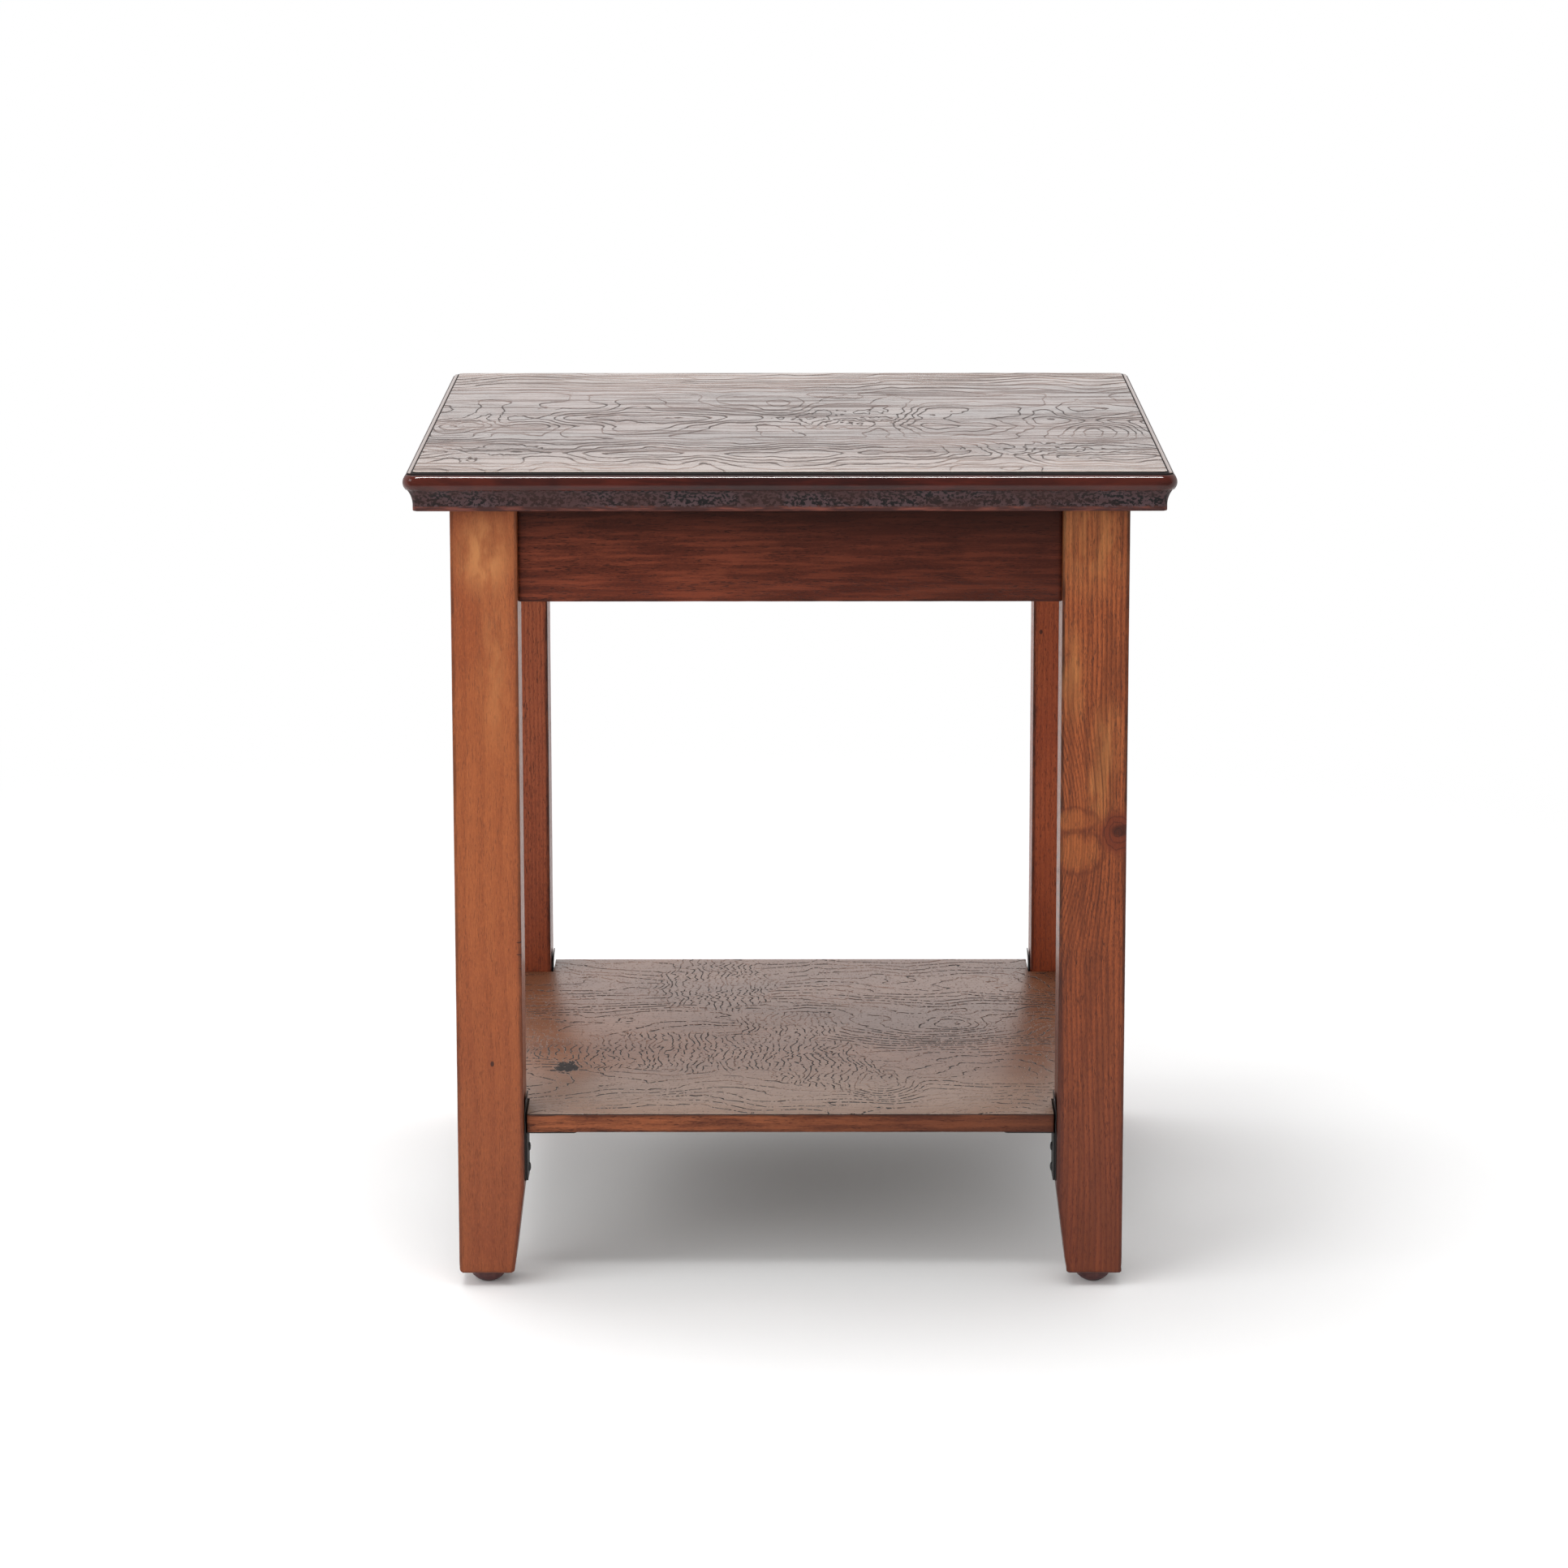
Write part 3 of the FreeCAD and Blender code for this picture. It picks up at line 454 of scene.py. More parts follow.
def octagon(half_x, half_y, clip, steps):
    """The plan of a board with clipped corners, its long sides cut into steps."""
    corners = []
    for x, y in ((1, -1), (1, 1), (-1, 1), (-1, -1)):
        pair = [(x * (half_x - clip), y * half_y), (x * half_x, y * (half_y - clip))]
        corners += pair if x != y else reversed(pair)
    points = []
    for index, start in enumerate(corners):
        end = corners[(index + 1) % 8]
        count = steps if index % 2 else 2
        for step in range(count):
            share = step / count
            points.append((start[0] + (end[0] - start[0]) * share, start[1] + (end[1] - start[1]) * share))
    return points


def make_clipped_board(name, node, section, clip, steps, uneven, degrees, finish):
    """A board whose moulded edge follows section: (inset, height) from below, and whose corners are clipped."""
    low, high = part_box(node)
    centre = (low + high) / 2
    rings = []
    for inset, height in section:
        half_x = (high.x - low.x) / 2 - inset * MM
        half_y = (high.y - low.y) / 2 - inset * MM
        cut = max(clip - inset * (2 - math.sqrt(2)), 0.4) * MM
        ring = []
        for x, y in octagon(half_x, half_y, cut, steps):
            bite = abs(wobble((x, y, height * MM * 3), 9, uneven))
            length = math.hypot(x, y)
            point = Vector((x * (1 - bite / length), y * (1 - bite / length), height * MM))
            ring.append(point + Vector((centre.x, centre.y, low.z)))
        rings.append(ring)
    attach(piece_from(name, *loft(rings), degrees), "frame", node, finish)


def make_top(edge_finish, face_finish):
    foot = [(60, 0), (7.6, 0), *arc((7.2, 0.0), (6.3, 0.9), 0.25, 4), (6.3, 2.2)]
    cove = [*arc((6.3, 3.6), (2.9, 14.15), -0.95, 12), (2.7, 14.3), (2.25, 14.3)]
    nose = arc((2.0, 14.5), (2.0, 24.2), 1.95, 22)
    ledge = [(2.5, 24.3), (2.95, 24.35), (3.0, 24.8), (3.05, 25.2), (3.25, 25.4), (5.0, 25.4), (60, 25.4)]
    make_clipped_board("moulded_top", "top_board", foot + cove + nose + ledge, 6.0, 100, 0.07, 50, edge_finish)
    veneer = [(1.0, 0.0), (0.12, 0.02), (0.0, 0.25), (0.0, 0.55), (0.08, 0.78), (0.25, 0.93), (0.6, 1.0),
              (3.0, 1.0)]
    make_clipped_board("top_face", "top_veneer", veneer, 2.2, 120, 0.22, 60, face_finish)


# ---- legs and boards


def heading(degrees):
    return math.cos(math.radians(degrees)), math.sin(math.radians(degrees))


def stick_section(inner_x, inner_y, radii, inner_flat=0.0):
    """A squared stick's section from its outer arris, each corner rounded by its radius, the innermost cut
    flat if asked. Each place comes with its closeness to an arris, 1 on it."""
    corners = (((0, 0), 180), ((inner_x, 0), 270), ((inner_x, inner_y), 0), ((0, inner_y), 90))
    places = []
    for ((x, y), start), radius in zip(corners, radii):
        centre_x = x + (radius if x == 0 else -radius)
        centre_y = y + (radius if y == 0 else -radius)
        turns = [heading(start + 15 * step) for step in range(7)]
        bend = [(centre_x + radius * turn_x, centre_y + radius * turn_y) for turn_x, turn_y in turns]
        if inner_flat and (x, y) == (inner_x, inner_y):
            bend = [(x - inner_flat * step / 6, y - inner_flat * (6 - step) / 6) for step in range(7)]
        (first_x, first_y), (last_x, last_y) = bend[0], bend[-1]
        (into_x, into_y), (out_x, out_y) = heading(start + 90), heading(start + 180)
        for reach, closeness in ((4.0, 0.0), (1.6, 0.45)):
            places.append((first_x - into_x * reach, first_y - into_y * reach, closeness))
        places += [(*point, 1.0) for point in bend]
        for reach, closeness in ((1.6, 0.45), (4.0, 0.0)):
            places.append((last_x + out_x * reach, last_y + out_y * reach, closeness))
    return places


def make_stick(name, rings, worn, body, node, finish):
    """A squared stick of wood from its sections. How worn each vertex is gets matched by place, because
    merged vertices lose their order."""
    vertices, faces = loft(rings)
    stick = piece_from(name, vertices, faces, 44)
    lookup = {tuple(round(v, 6) for v in vertex): value for vertex, value in zip(vertices, worn)}
    layer = stick.data.attributes.new("arris", "FLOAT", "POINT")
    for index, vertex in enumerate(stick.data.vertices):
        layer.data[index].value = lookup.get(tuple(round(v, 6) for v in vertex.co), 0.0)
    attach(stick, body, node, finish)


def leg_point(sides, x, y, height):
    """Where a place in a leg's section, given from its outer arris, is in the table."""
    return Vector((sides[0] * (LEG_FACE - x) * MM, sides[1] * (LEG_FACE - y) * MM, height * MM))


def make_leg(corner, finish):
    """A square leg, eased by hand along its arrises, with two inner faces tapered at the foot and a flat on
    its inner corner behind the aprons."""
    name = "leg_" + corner
    low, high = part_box(name)
    sides = CORNERS[corner]
    width = (high.x - low.x) / MM
    foot, top = low.z / MM, high.z / MM
    knee, ledge = foot + TAPER_HEIGHT, top - APRON_DEPTH
    heights = [foot, foot + 0.35, foot + 0.9, foot + 2.0, foot + 4.0]
    heights += stations(foot + 8.0, knee - 3, 6.0) + [knee - 1.2, knee, knee + 1.2]
    heights += stations(knee + 8.0, ledge - 4, 8.0) + [ledge - 0.01, ledge + 0.01]
    heights += stations(ledge + 9.0, top - 3, 8.0) + [top - 0.5, top]
    seed = 3.1 * sides[0] + 7.7 * sides[1]
    rings, worn = [], []
    for height in heights:
        inner = width - max(0.0, (knee - height) / (knee - foot)) * TAPER_DEPTH
        shrink = max(0.0, 1.0 - (height - foot) / 1.2) ** 1.6 * 0.9
        radii = [1.25 + 0.45 * noise.noise(Vector((height / 38, seed + k * 5.3, 0.2))) for k in range(4)]
        flat = INNER_FLAT if height > ledge else 0.0
        middle = leg_point(sides, inner / 2, inner / 2, height)
        ring = []
        for x, y, closeness in stick_section(inner, inner, radii, flat):
            x, y = (min(max(shrink + v * (inner - 2 * shrink) / inner, 0.0), inner) for v in (x, y))
            place = leg_point(sides, x, y, height)
            chip = 0.0
            if height < foot + CHIPPED:
                nibble = max(0.0, noise.noise(place / (3.2 * MM) + Vector((seed, 0, 0))) + 0.25)
                chip = nibble * (0.5 + 1.6 * closeness) * MM * (1 - (height - foot) / CHIPPED) ** 2
            chip += abs(wobble(place, 14, 0.10, seed)) * closeness
            ring.append(place + (middle - place).normalized() * chip)
            end = max(0.0, 1 - (height - foot) / 3.5, 1 - (top - height) / 2.0)
            worn.append(min(1.0, max(closeness, end)))
        rings.append(ring)
    make_stick("turned_" + name, rings, worn, "frame", name, finish)


def make_board(name, node, body, finish, ease, along):
    """A plain board with eased arrises, its long faces cut finely enough to be a little uneven."""
    low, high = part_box(node)
    order = {"x": (0, 1, 2), "y": (1, 2, 0)}[along]
    size = (high - low) / MM
    length, across, thick = (size[axis] for axis in order)
    ends = [0.0, 0.25, ease, 3.0]
    rings, worn = [], []
    for station in ends + stations(9.0, length - 4, 8.0) + [length - end for end in reversed(ends)]:
        end = min(station, length - station)
        shrink = ease * (1 - min(end / ease, 1.0)) ** 2 * 0.6
        ring = []
        for x, y, closeness in stick_section(across, thick, [ease] * 4):
            place = [0.0, 0.0, 0.0]
            place[order[0]] = station
            place[order[1]] = shrink + x * (across - 2 * shrink) / across
            place[order[2]] = shrink + y * (thick - 2 * shrink) / thick
            point = low + Vector(place) * MM
            inwards = (low + high) / 2 - point
            inwards[order[0]] = 0.0
            ring.append(point + inwards.normalized() * abs(wobble(point, 16, 0.12, 4.2)) * closeness)
            worn.append(max(closeness, 1.0 if end < 1.0 else 0.0))
        rings.append(ring)
    make_stick(name, rings, worn, body, node, finish)


def eased_copy(name, node, body, finish, width, segments=2):
    """A copy of a solid with its sharp edges broken by a small bevel."""
    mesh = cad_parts[node].data.copy()
    work = bmesh.new()
    work.from_mesh(mesh)
    bmesh.ops.remove_doubles(work, verts=work.verts, dist=2e-6)
    bmesh.ops.dissolve_limit(work, angle_limit=math.radians(1.0), verts=work.verts, edges=work.edges)
    work.to_mesh(mesh)
    work.free()
    draft = show(name + "_draft", mesh)
    bevel = draft.modifiers.new("bevel", "BEVEL")
    bevel.width = width * MM
    bevel.segments = segments
    bevel.limit_method = "ANGLE"
    bevel.angle_limit = math.radians(40)
    bevel.use_clamp_overlap = True
    attach(freeze(draft, name, 35), body, node, finish)


def make_shelf(face_finish, core_finish, strip_finish):
    for side, along in EDGES.items():
        make_board("shelf_strip_" + side, "shelf_edge_" + side, "shelf", strip_finish[along], 0.5, along)
    eased_copy("shelf_face", "shelf_veneer", "shelf", face_finish, 0.25)
    eased_copy("shelf_panel", "shelf_board", "shelf", core_finish, 0.3)


# ---- feet and hardware


def make_glides(finish):
    """Domed glides, turned from a section of (radius, height)."""
    section = [(3.0, 0.0), *arc((3.4, 0.02), (10.85, 4.7), -0.75, 12)]
    section += [(11.0, 5.1), (11.0, 9.2), (10.85, 9.75), (10.4, 10.0)]
    turns = [heading(9 * step) for step in range(40)]
    for corner in CORNERS:
        node = "foot_glide_" + corner
        low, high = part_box(node)
        centre = (low + high) / 2
        rings = [[Vector((centre.x + radius * MM * x, centre.y + radius * MM * y, height * MM)) for x, y in turns]
                 for radius, height in section]
        attach(piece_from("domed_" + node, *loft(rings), 38), "frame", node, finish)


def make_leaf(corner, finish):
    """The spring strip that lies on the leg under its bracket, bows past the shelf's end and leans out at
    its tip."""
    node = "spring_leaf_" + corner
    low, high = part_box(node)
    side = CORNERS[corner][0]
    face = low.x if side < 0 else high.x
    middle, half = (low.y + high.y) / 2, (high.y - low.y) / 2 / MM
    foot, tip = low.z / MM, high.z / MM
    rings = []
    # Each row: the height, how far off the leg the strip's middle is, its thickness, and how much narrower it is.
    for height, offset, thick, narrow in (
        (foot, 0.55, 1.06, 1.0), (foot + 0.4, 0.55, 1.1, 0.2), (foot + 1.2, 0.55, 1.1, 0.0),
        (106.6, 0.55, 1.1, 0.0), (108.5, 0.66, 0.95, 0.0), (110.5, 0.78, 0.85, 0.0), (112.5, 0.66, 0.8, 0.0),
        (115.0, 0.5, 0.8, 0.0), (118.0, 0.48, 0.8, 0.0), (121.0, 0.62, 0.8, 0.0), (124.0, 0.86, 0.8, 0.1),
        (126.5, 1.12, 0.8, 0.7), (128.4, 1.32, 0.8, 1.8), (129.7, 1.44, 0.78, 3.2), (tip - 0.3, 1.5, 0.7, 4.8),
        (tip, 1.52, 0.5, 6.5),
    ):
        reach, depth = half - narrow, thick / 2
        outline = [(-depth, -reach + 0.25), (-depth + 0.2, -reach), (depth - 0.2, -reach), (depth, -reach + 0.25)]
        ring = outline + [(x, -y) for x, y in reversed(outline)]
        rings.append([Vector((face - side * (offset + x) * MM, middle + y * MM, height * MM)) for x, y in ring])
    attach(piece_from("sprung_leaf_" + corner, *loft(rings), 50), "frame", node, finish)


def screw_tree():
    """Pan-head screws with a crossed recess, one on each place given, pointing away from its facing."""
    tree = bpy.data.node_groups.new("pan_head_screws", "GeometryNodeTree")
    sockets = tree.interface
    sockets.new_socket("Screws", in_out="OUTPUT", socket_type="NodeSocketGeometry")
    sockets.new_socket("Places", in_out="INPUT", socket_type="NodeSocketGeometry")
    for name in ("Head radius", "Head height", "Shank radius", "Shank length", "Point length", "Pitch",
                 "Turn spread"):
        sockets.new_socket(name, in_out="INPUT", socket_type="NodeSocketFloat")
    sockets.new_socket("Seed", in_out="INPUT", socket_type="NodeSocketInt")
    sockets.new_socket("Metal", in_out="INPUT", socket_type="NodeSocketMaterial")
    nodes = Finish("screws", tree)
    given = {socket.name: Amount(nodes, socket) for socket in nodes.add("NodeGroupInput").outputs}

    def step(kind, inputs, **settings):
        """One more node, with what its named inputs are handed."""
        node = nodes.add(kind, **settings)
        for name, value in inputs.items():
            nodes.feed(node.inputs[name], value)
        return node.outputs

    def post(low, high, rows, radius):
        """A closed round post between two heights, with a radius that may change along it."""
        line = step("GeometryNodeCurvePrimitiveLine", {"Start": nodes.join(z=low), "End": nodes.join(z=high)})
        cut = step("GeometryNodeResampleCurve", {"Curve": line[0], "Count": rows})
        circle = step("GeometryNodeCurvePrimitiveCircle", {"Resolution": 28, "Radius": 1.0})
        return step("GeometryNodeCurveToMesh", {"Curve": cut[0], "Profile Curve": circle[0], "Scale": radius,
                                                "Fill Caps": True})[0]

    height = Place(nodes, nodes.add("GeometryNodeInputPosition").outputs[0]).split()[2]
    taper = nodes.math("MINIMUM", (height + given["Shank length"]) / given["Point length"], 1.0)
    thread = abs((height / given["Pitch"]).fract() - 0.5) * 0.32 + 0.84
    thinnest, overlap = 0.0002, 0.0003
    shank_radius = (given["Shank radius"] * taper * thread).larger(thinnest)
    shank = post(given["Shank length"] * -1.0, overlap, 120, shank_radius)
    dome = (1.0 - nodes.math("POWER", (height / given["Head height"]).larger(0.0), 2.6)).larger(0.03).root()
    head = post(0.0, given["Head height"], 12, given["Head radius"] * dome)
    whole = nodes.add("GeometryNodeMeshBoolean", operation="UNION", solver="EXACT")
    for mesh in (shank, head):
        nodes.feed(whole.inputs["Mesh 2"], mesh)
    cross = nodes.add("GeometryNodeMeshBoolean", operation="DIFFERENCE", solver="EXACT")
    nodes.feed(cross.inputs["Mesh 1"], whole.outputs["Mesh"])
    for along, across in ((1.05, 0.26), (0.26, 1.05)):
        size = nodes.join(given["Head radius"] * along, given["Head radius"] * across, given["Head height"] * 1.3)
        slot = step("GeometryNodeMeshCube", {"Size": size})["Mesh"]
        lift = step("GeometryNodeTransform", {"Geometry": slot, "Translation": nodes.join(z=given["Head height"])})
        nodes.feed(cross.inputs["Mesh 2"], lift[0])

    facing = step("GeometryNodeInputNamedAttribute", {"Name": "facing"}, data_type="FLOAT_VECTOR")["Attribute"]
    upright = step("FunctionNodeAlignRotationToVector", {"Vector": facing}, axis="Z")[0]
    chance = step("FunctionNodeRandomValue", {"Max": given["Turn spread"], "Seed": given["Seed"]},
                  data_type="FLOAT")
    turn = next(output for output in chance if output.enabled)
    spin = step("FunctionNodeAxisAngleToRotation", {"Axis": (0, 0, 1), "Angle": turn})[0]
    turned = step("FunctionNodeRotateRotation", {"Rotation": upright, "Rotate By": spin},
                  rotation_space="LOCAL")[0]
    copies = step("GeometryNodeInstanceOnPoints", {"Points": given["Places"], "Instance": cross.outputs["Mesh"],
                                                   "Rotation": turned})[0]
    real = step("GeometryNodeRealizeInstances", {"Geometry": copies})[0]
    dressed = step("GeometryNodeSetMaterial", {"Geometry": real, "Material": given["Metal"]})[0]
    nodes.feed(nodes.add("NodeGroupOutput").inputs[0], dressed)
    return tree


def make_screws(tree, node, places, slot, **sizes):
    """Screws of one kind, given as (where the head seats, which way it faces)."""
    mesh = bpy.data.meshes.new(node + "_places")
    mesh.from_pydata([shade(seat, MM) for seat, _ in places], [], [])
    layer = mesh.attributes.new("facing", "FLOAT_VECTOR", "POINT")
    for index, (_, facing) in enumerate(places):
        layer.data[index].vector = facing
    draft = show(node + "_draft", mesh)
    modifier = draft.modifiers.new("screws", "NODES")
    modifier.node_group = tree
    for item in tree.interface.items_tree:
        key = item.name.lower().replace(" ", "_")
        if key in sizes:
            modifier[item.identifier] = sizes[key]
    attach(freeze(draft, "cross_head_" + node, 40), "frame", node)


def make_all_screws(zinc, black):
    """Each kind of screw by where its heads seat: across the table from its middle, and above the floor."""
    tree = screw_tree()
    steel_face, leg_middle, bracket_heights = 178.2, 202.75, (93.2, 78.9)
    block_face, block_line, block_height = 192, 145, 516.6
    top_far, top_near, top_height = 181.2, 160, 495.6
    bracket, block, top = [], [], []
    for side_x, side_y in CORNERS.values():
        for height in bracket_heights:
            bracket.append(((side_x * steel_face, side_y * leg_middle, height), (-side_x, 0, 0)))
        block.append(((side_x * block_line, side_y * block_face, block_height), (0, -side_y, 0)))
        block.append(((side_x * block_face, side_y * block_line, block_height), (-side_x, 0, 0)))
        for x, y in ((top_far, top_near), (top_near, top_far)):
            top.append(((side_x * x, side_y * y, top_height), (0, 0, -1)))
    wood = dict(head_radius=4.0 * MM, head_height=2.6 * MM, shank_radius=2.1 * MM, point_length=3.0 * MM,
                pitch=2.2 * MM, turn_spread=1.5, metal=zinc)
    small = dict(head_radius=3.2 * MM, head_height=1.5 * MM, shank_radius=1.9 * MM, point_length=3.0 * MM,
                 pitch=1.8 * MM, turn_spread=1.5, metal=black)
    make_screws(tree, "block_screws", block, "wood_screws", shank_length=20.0 * MM, seed=3, **wood)
    make_screws(tree, "top_screws", top, "wood_screws", shank_length=58.0 * MM, seed=8, **wood)
    make_screws(tree, "bracket_screws", bracket, "bracket_screws", shank_length=16.0 * MM, seed=5, **small)


# ---- finishes


def growth_lines(place, across, gap=6.0, size=60.0, swell=9.0):
    """A number that grows by one from each growth line to the next."""
    drift = place.noise(size, 6.0, 1.0)
    jag = place.noise(2.6, 9.0, 2.0, 0.5, 6.0)
    return across * (1 / gap) + drift * swell + jag * 0.25


def wood_layers(finish, place, field, light, middle, dark, edge, late_share, pore_share=0.7):
    """Stained wood: light early growth, darker late growth, dark pores and darker arrises.
    Gives back its colour, its relief and how rough it is above the varnish's own."""
    saw = field.fract()
    late = saw.span(0.3, 0.88) * saw.fall(0.92, 1.0)
    fibre = place.noise(0.5, 40.0, 3.0, 0.65)
    speck = place.noise(0.75, 3.0, 2.0, 0.6, 23.0)
    crowd = place.noise(9.0, 5.0, 2.0, 0.5, 47.0)
    pores = (place.noise(0.5, 9.0, 1.0, 0.5, 31.0) + crowd * 0.22).span(0.7, 0.79)
    cloud = place.noise(40.0, 3.0, 3.0, 0.55, 77.0, 0.4)
    rubbed = place.noise(4.0, 5.0, 3.0, 0.6, 12.0)
    arris = Amount(finish, finish.add("ShaderNodeAttribute", attribute_name="arris").outputs["Fac"])
    worn = arris.span(0.55, 0.95) * 0.8 + arris.span(0.1, 0.8) * 0.3
    colour = finish.coats(
        middle,
        (cloud.span(0.34, 0.66), light),
        (late * late_share, dark),
        (fibre.span(0.38, 0.68, 0.0, 0.42), dark),
        (speck.span(0.45, 0.7, 0.0, 0.22), shade(light, 1.25)),
        (pores * pore_share, shade(dark, 0.5)),
        (worn * rubbed.span(0.3, 0.62, 0.45, 1.0) * edge, shade(dark, 0.33)))
    return colour, fibre * 0.4 + late * 0.2 - pores * 0.9, fibre * 0.1 + pores * 0.25


def stained(name, along, origin, light, middle, dark, roughness=0.32, level=0.4, edge=0.6, late_share=0.5,
            stain_and_shade_fade=0.0, overhang_shade=None, **figure):
    """Stained and varnished wood with its grain along one axis. It may darken towards one end, partly as a
    darker stain and partly as painted shade where the light falls off, and take a band of painted shade
    between two heights, as the top's overhang would cast."""
    finish = Finish(name)
    place = finish.place(along, origin)
    field = growth_lines(place, place.across, **figure)
    colour, relief, rough = wood_layers(finish, place, field, light, middle, dark, edge, late_share)
    vein = place.noise(3.2, 16.0, 2.0, 0.6, 14.0)
    colour = finish.coats(colour, (vein.span(0.5, 0.64, 0.0, 0.45), dark),
                          (vein.span(0.5, 0.36, 0.0, 0.45), shade(light, 1.18)))
    # Darker towards the right or rear end of the grain: painted shade where the light falls off, partly a darker
    # stain.
    if stain_and_shade_fade:
        colour = finish.coats(colour, (place.along.span(-190, 190, 0.0, stain_and_shade_fade), shade(dark, 0.8)))
    # A band of painted shade between two heights, as the top's overhang would cast on an apron.
    if overhang_shade:
        colour = finish.coats(colour, (finish.rise().span(*overhang_shade, 0.0, 0.7), shade(dark, 0.5)))
    return finish.surface(colour, rough + roughness, relief, 0.05, level)


def raw_wood(name, along, light, dark):
    return stained(name, along, (13, 5, 7), light, shade(light, 0.93), dark, roughness=0.65, level=0.25,
                   edge=0.15, late_share=0.4)


# Where the top's arches are jagged: centre, reach along and across, and how far the teeth go.
TOP_TEETH = ((40, -6, 80, 70, 70.0), (-215, -10, 50, 70, 26.0), (175, -150, 90, 60, 40.0),
             (-200, -150, 70, 50, 22.0))


def top_face_wood():
    """Veneer sliced lengthwise from a log: long pointed arches along the middle and near the front, straight
    fine lines between them, all cut thin and dark into a satin varnish."""
    finish = Finish("top_veneer_lacquer")
    place = finish.place("x")

    def log_rings(at, centre, height, gap, seed):
        run = finish.join(at.along, at.across * 0.35)
        sway = run.noise(150, 1.0, 1.0, 0.5, seed)
        depth = run.noise(75, 1.0, 1.5, 0.5, seed + 31)
        teeth = run.noise(13, 1.0, 2.0, 0.6, seed + 57)
        aside = at.across - centre + (sway - 0.5) * 60
        near = (aside * aside + 30.0).root()
        bite = 9.0
        for x, y, width, reach, more in TOP_TEETH:
            bite = at.spot((x, y, TOP_HEIGHT), (width, reach, 50)) * more + bite
        return (near + (depth * height + teeth * bite) * near.span(20, 150, 1.0, 0.3)) * (1 / gap)

    def field_at(at):
        middle = log_rings(at, 2.0, 260.0, 15.0, 3.0)
        front = log_rings(at, -168.0, 150.0, 13.0, 71.0)
        share = at.across.span(-135, -80)
        return middle * share + front * (1.0 - share) + at.noise(40, 5.0, 1.0, 0.5, 19.0) * 2.2

    line, field = finish.engraved(field_at, place, (1.3, 5.6))
    across = place.across
    arches = abs(across - 2.0).fall(20, 85).larger(abs(across + 168.0).fall(20, 60))
    patchy = place.noise(46, 2.2, 2.0, 0.55, 51.0)
    where = (patchy + arches * 0.22).span(0.42, 0.66, 0.3, 1.0)
    crack = line * where * place.noise(7.0, 2.0, 2.0, 0.65, 5.0).span(0.3, 0.45, 0.3, 1.0)
    saw = field.fract()
    soft = saw.span(0.45, 0.95) * saw.fall(0.96, 1.0)
    streak = place.noise(5.5, 18.0, 4.0, 0.7).span(0.5, 0.6)
    speck = place.noise(1.1, 2.0, 2.0, 0.6, 63.0)
    cloud = place.noise(60, 2.4, 2.0, 0.5, 77.0, 0.3)
    # A pale line along the veneer's front edge: painted highlight.
    lip_highlight = across.span(-243.0, -245.5) * speck.span(0.3, 0.5, 0.4, 0.75)
    # The veneer's edge faces are painted near black as shade, and made rough.
    rim = finish.rise().fall(TOP_HEIGHT - 0.2, TOP_HEIGHT - 0.05)
    colour = finish.coats(
        (94, 68, 58),
        (cloud.span(0.3, 0.7), (122, 92, 80)),
        # Paler towards the front and back edges: painted sheen.
        (abs(across - 10).span(120, 230, 0.0, 0.6), (154, 128, 114)),
        (streak * 0.5, (50, 29, 24)),
        (soft * where * 0.3, (52, 30, 25)),
        (crack.span(0.4, 0.95) * 0.8, (38, 23, 18)),
        (lip_highlight, (206, 184, 168)),
        (rim, (14, 7, 6)))
    relief = speck * 0.04 - crack - streak * 0.3
    rough = crack * 0.9 + streak * 0.42 + speck * 0.05 + rim * 0.9 + 0.07
    return finish.surface(colour, rough, relief, 1.15, 1.0)


# Eyes of the shelf's burl: centre, reach along and across, and how many lines each adds.
BURL_EYES = ((108, 24, 100, 85, 3.6), (118, 22, 34, 26, 2.4), (66, -149, 34, 50, 4.0), (250, 130, 130, 150, 8.0),
             (-150, -70, 60, 40, 2.0))
# Where its figure turns to short upright strokes: centre, and reach along and across.
STROKE_BANDS = ((-75, -55, 175, 74), (-58, 140, 66, 110), (0, 20, 60, 60), (30, -110, 60, 70))


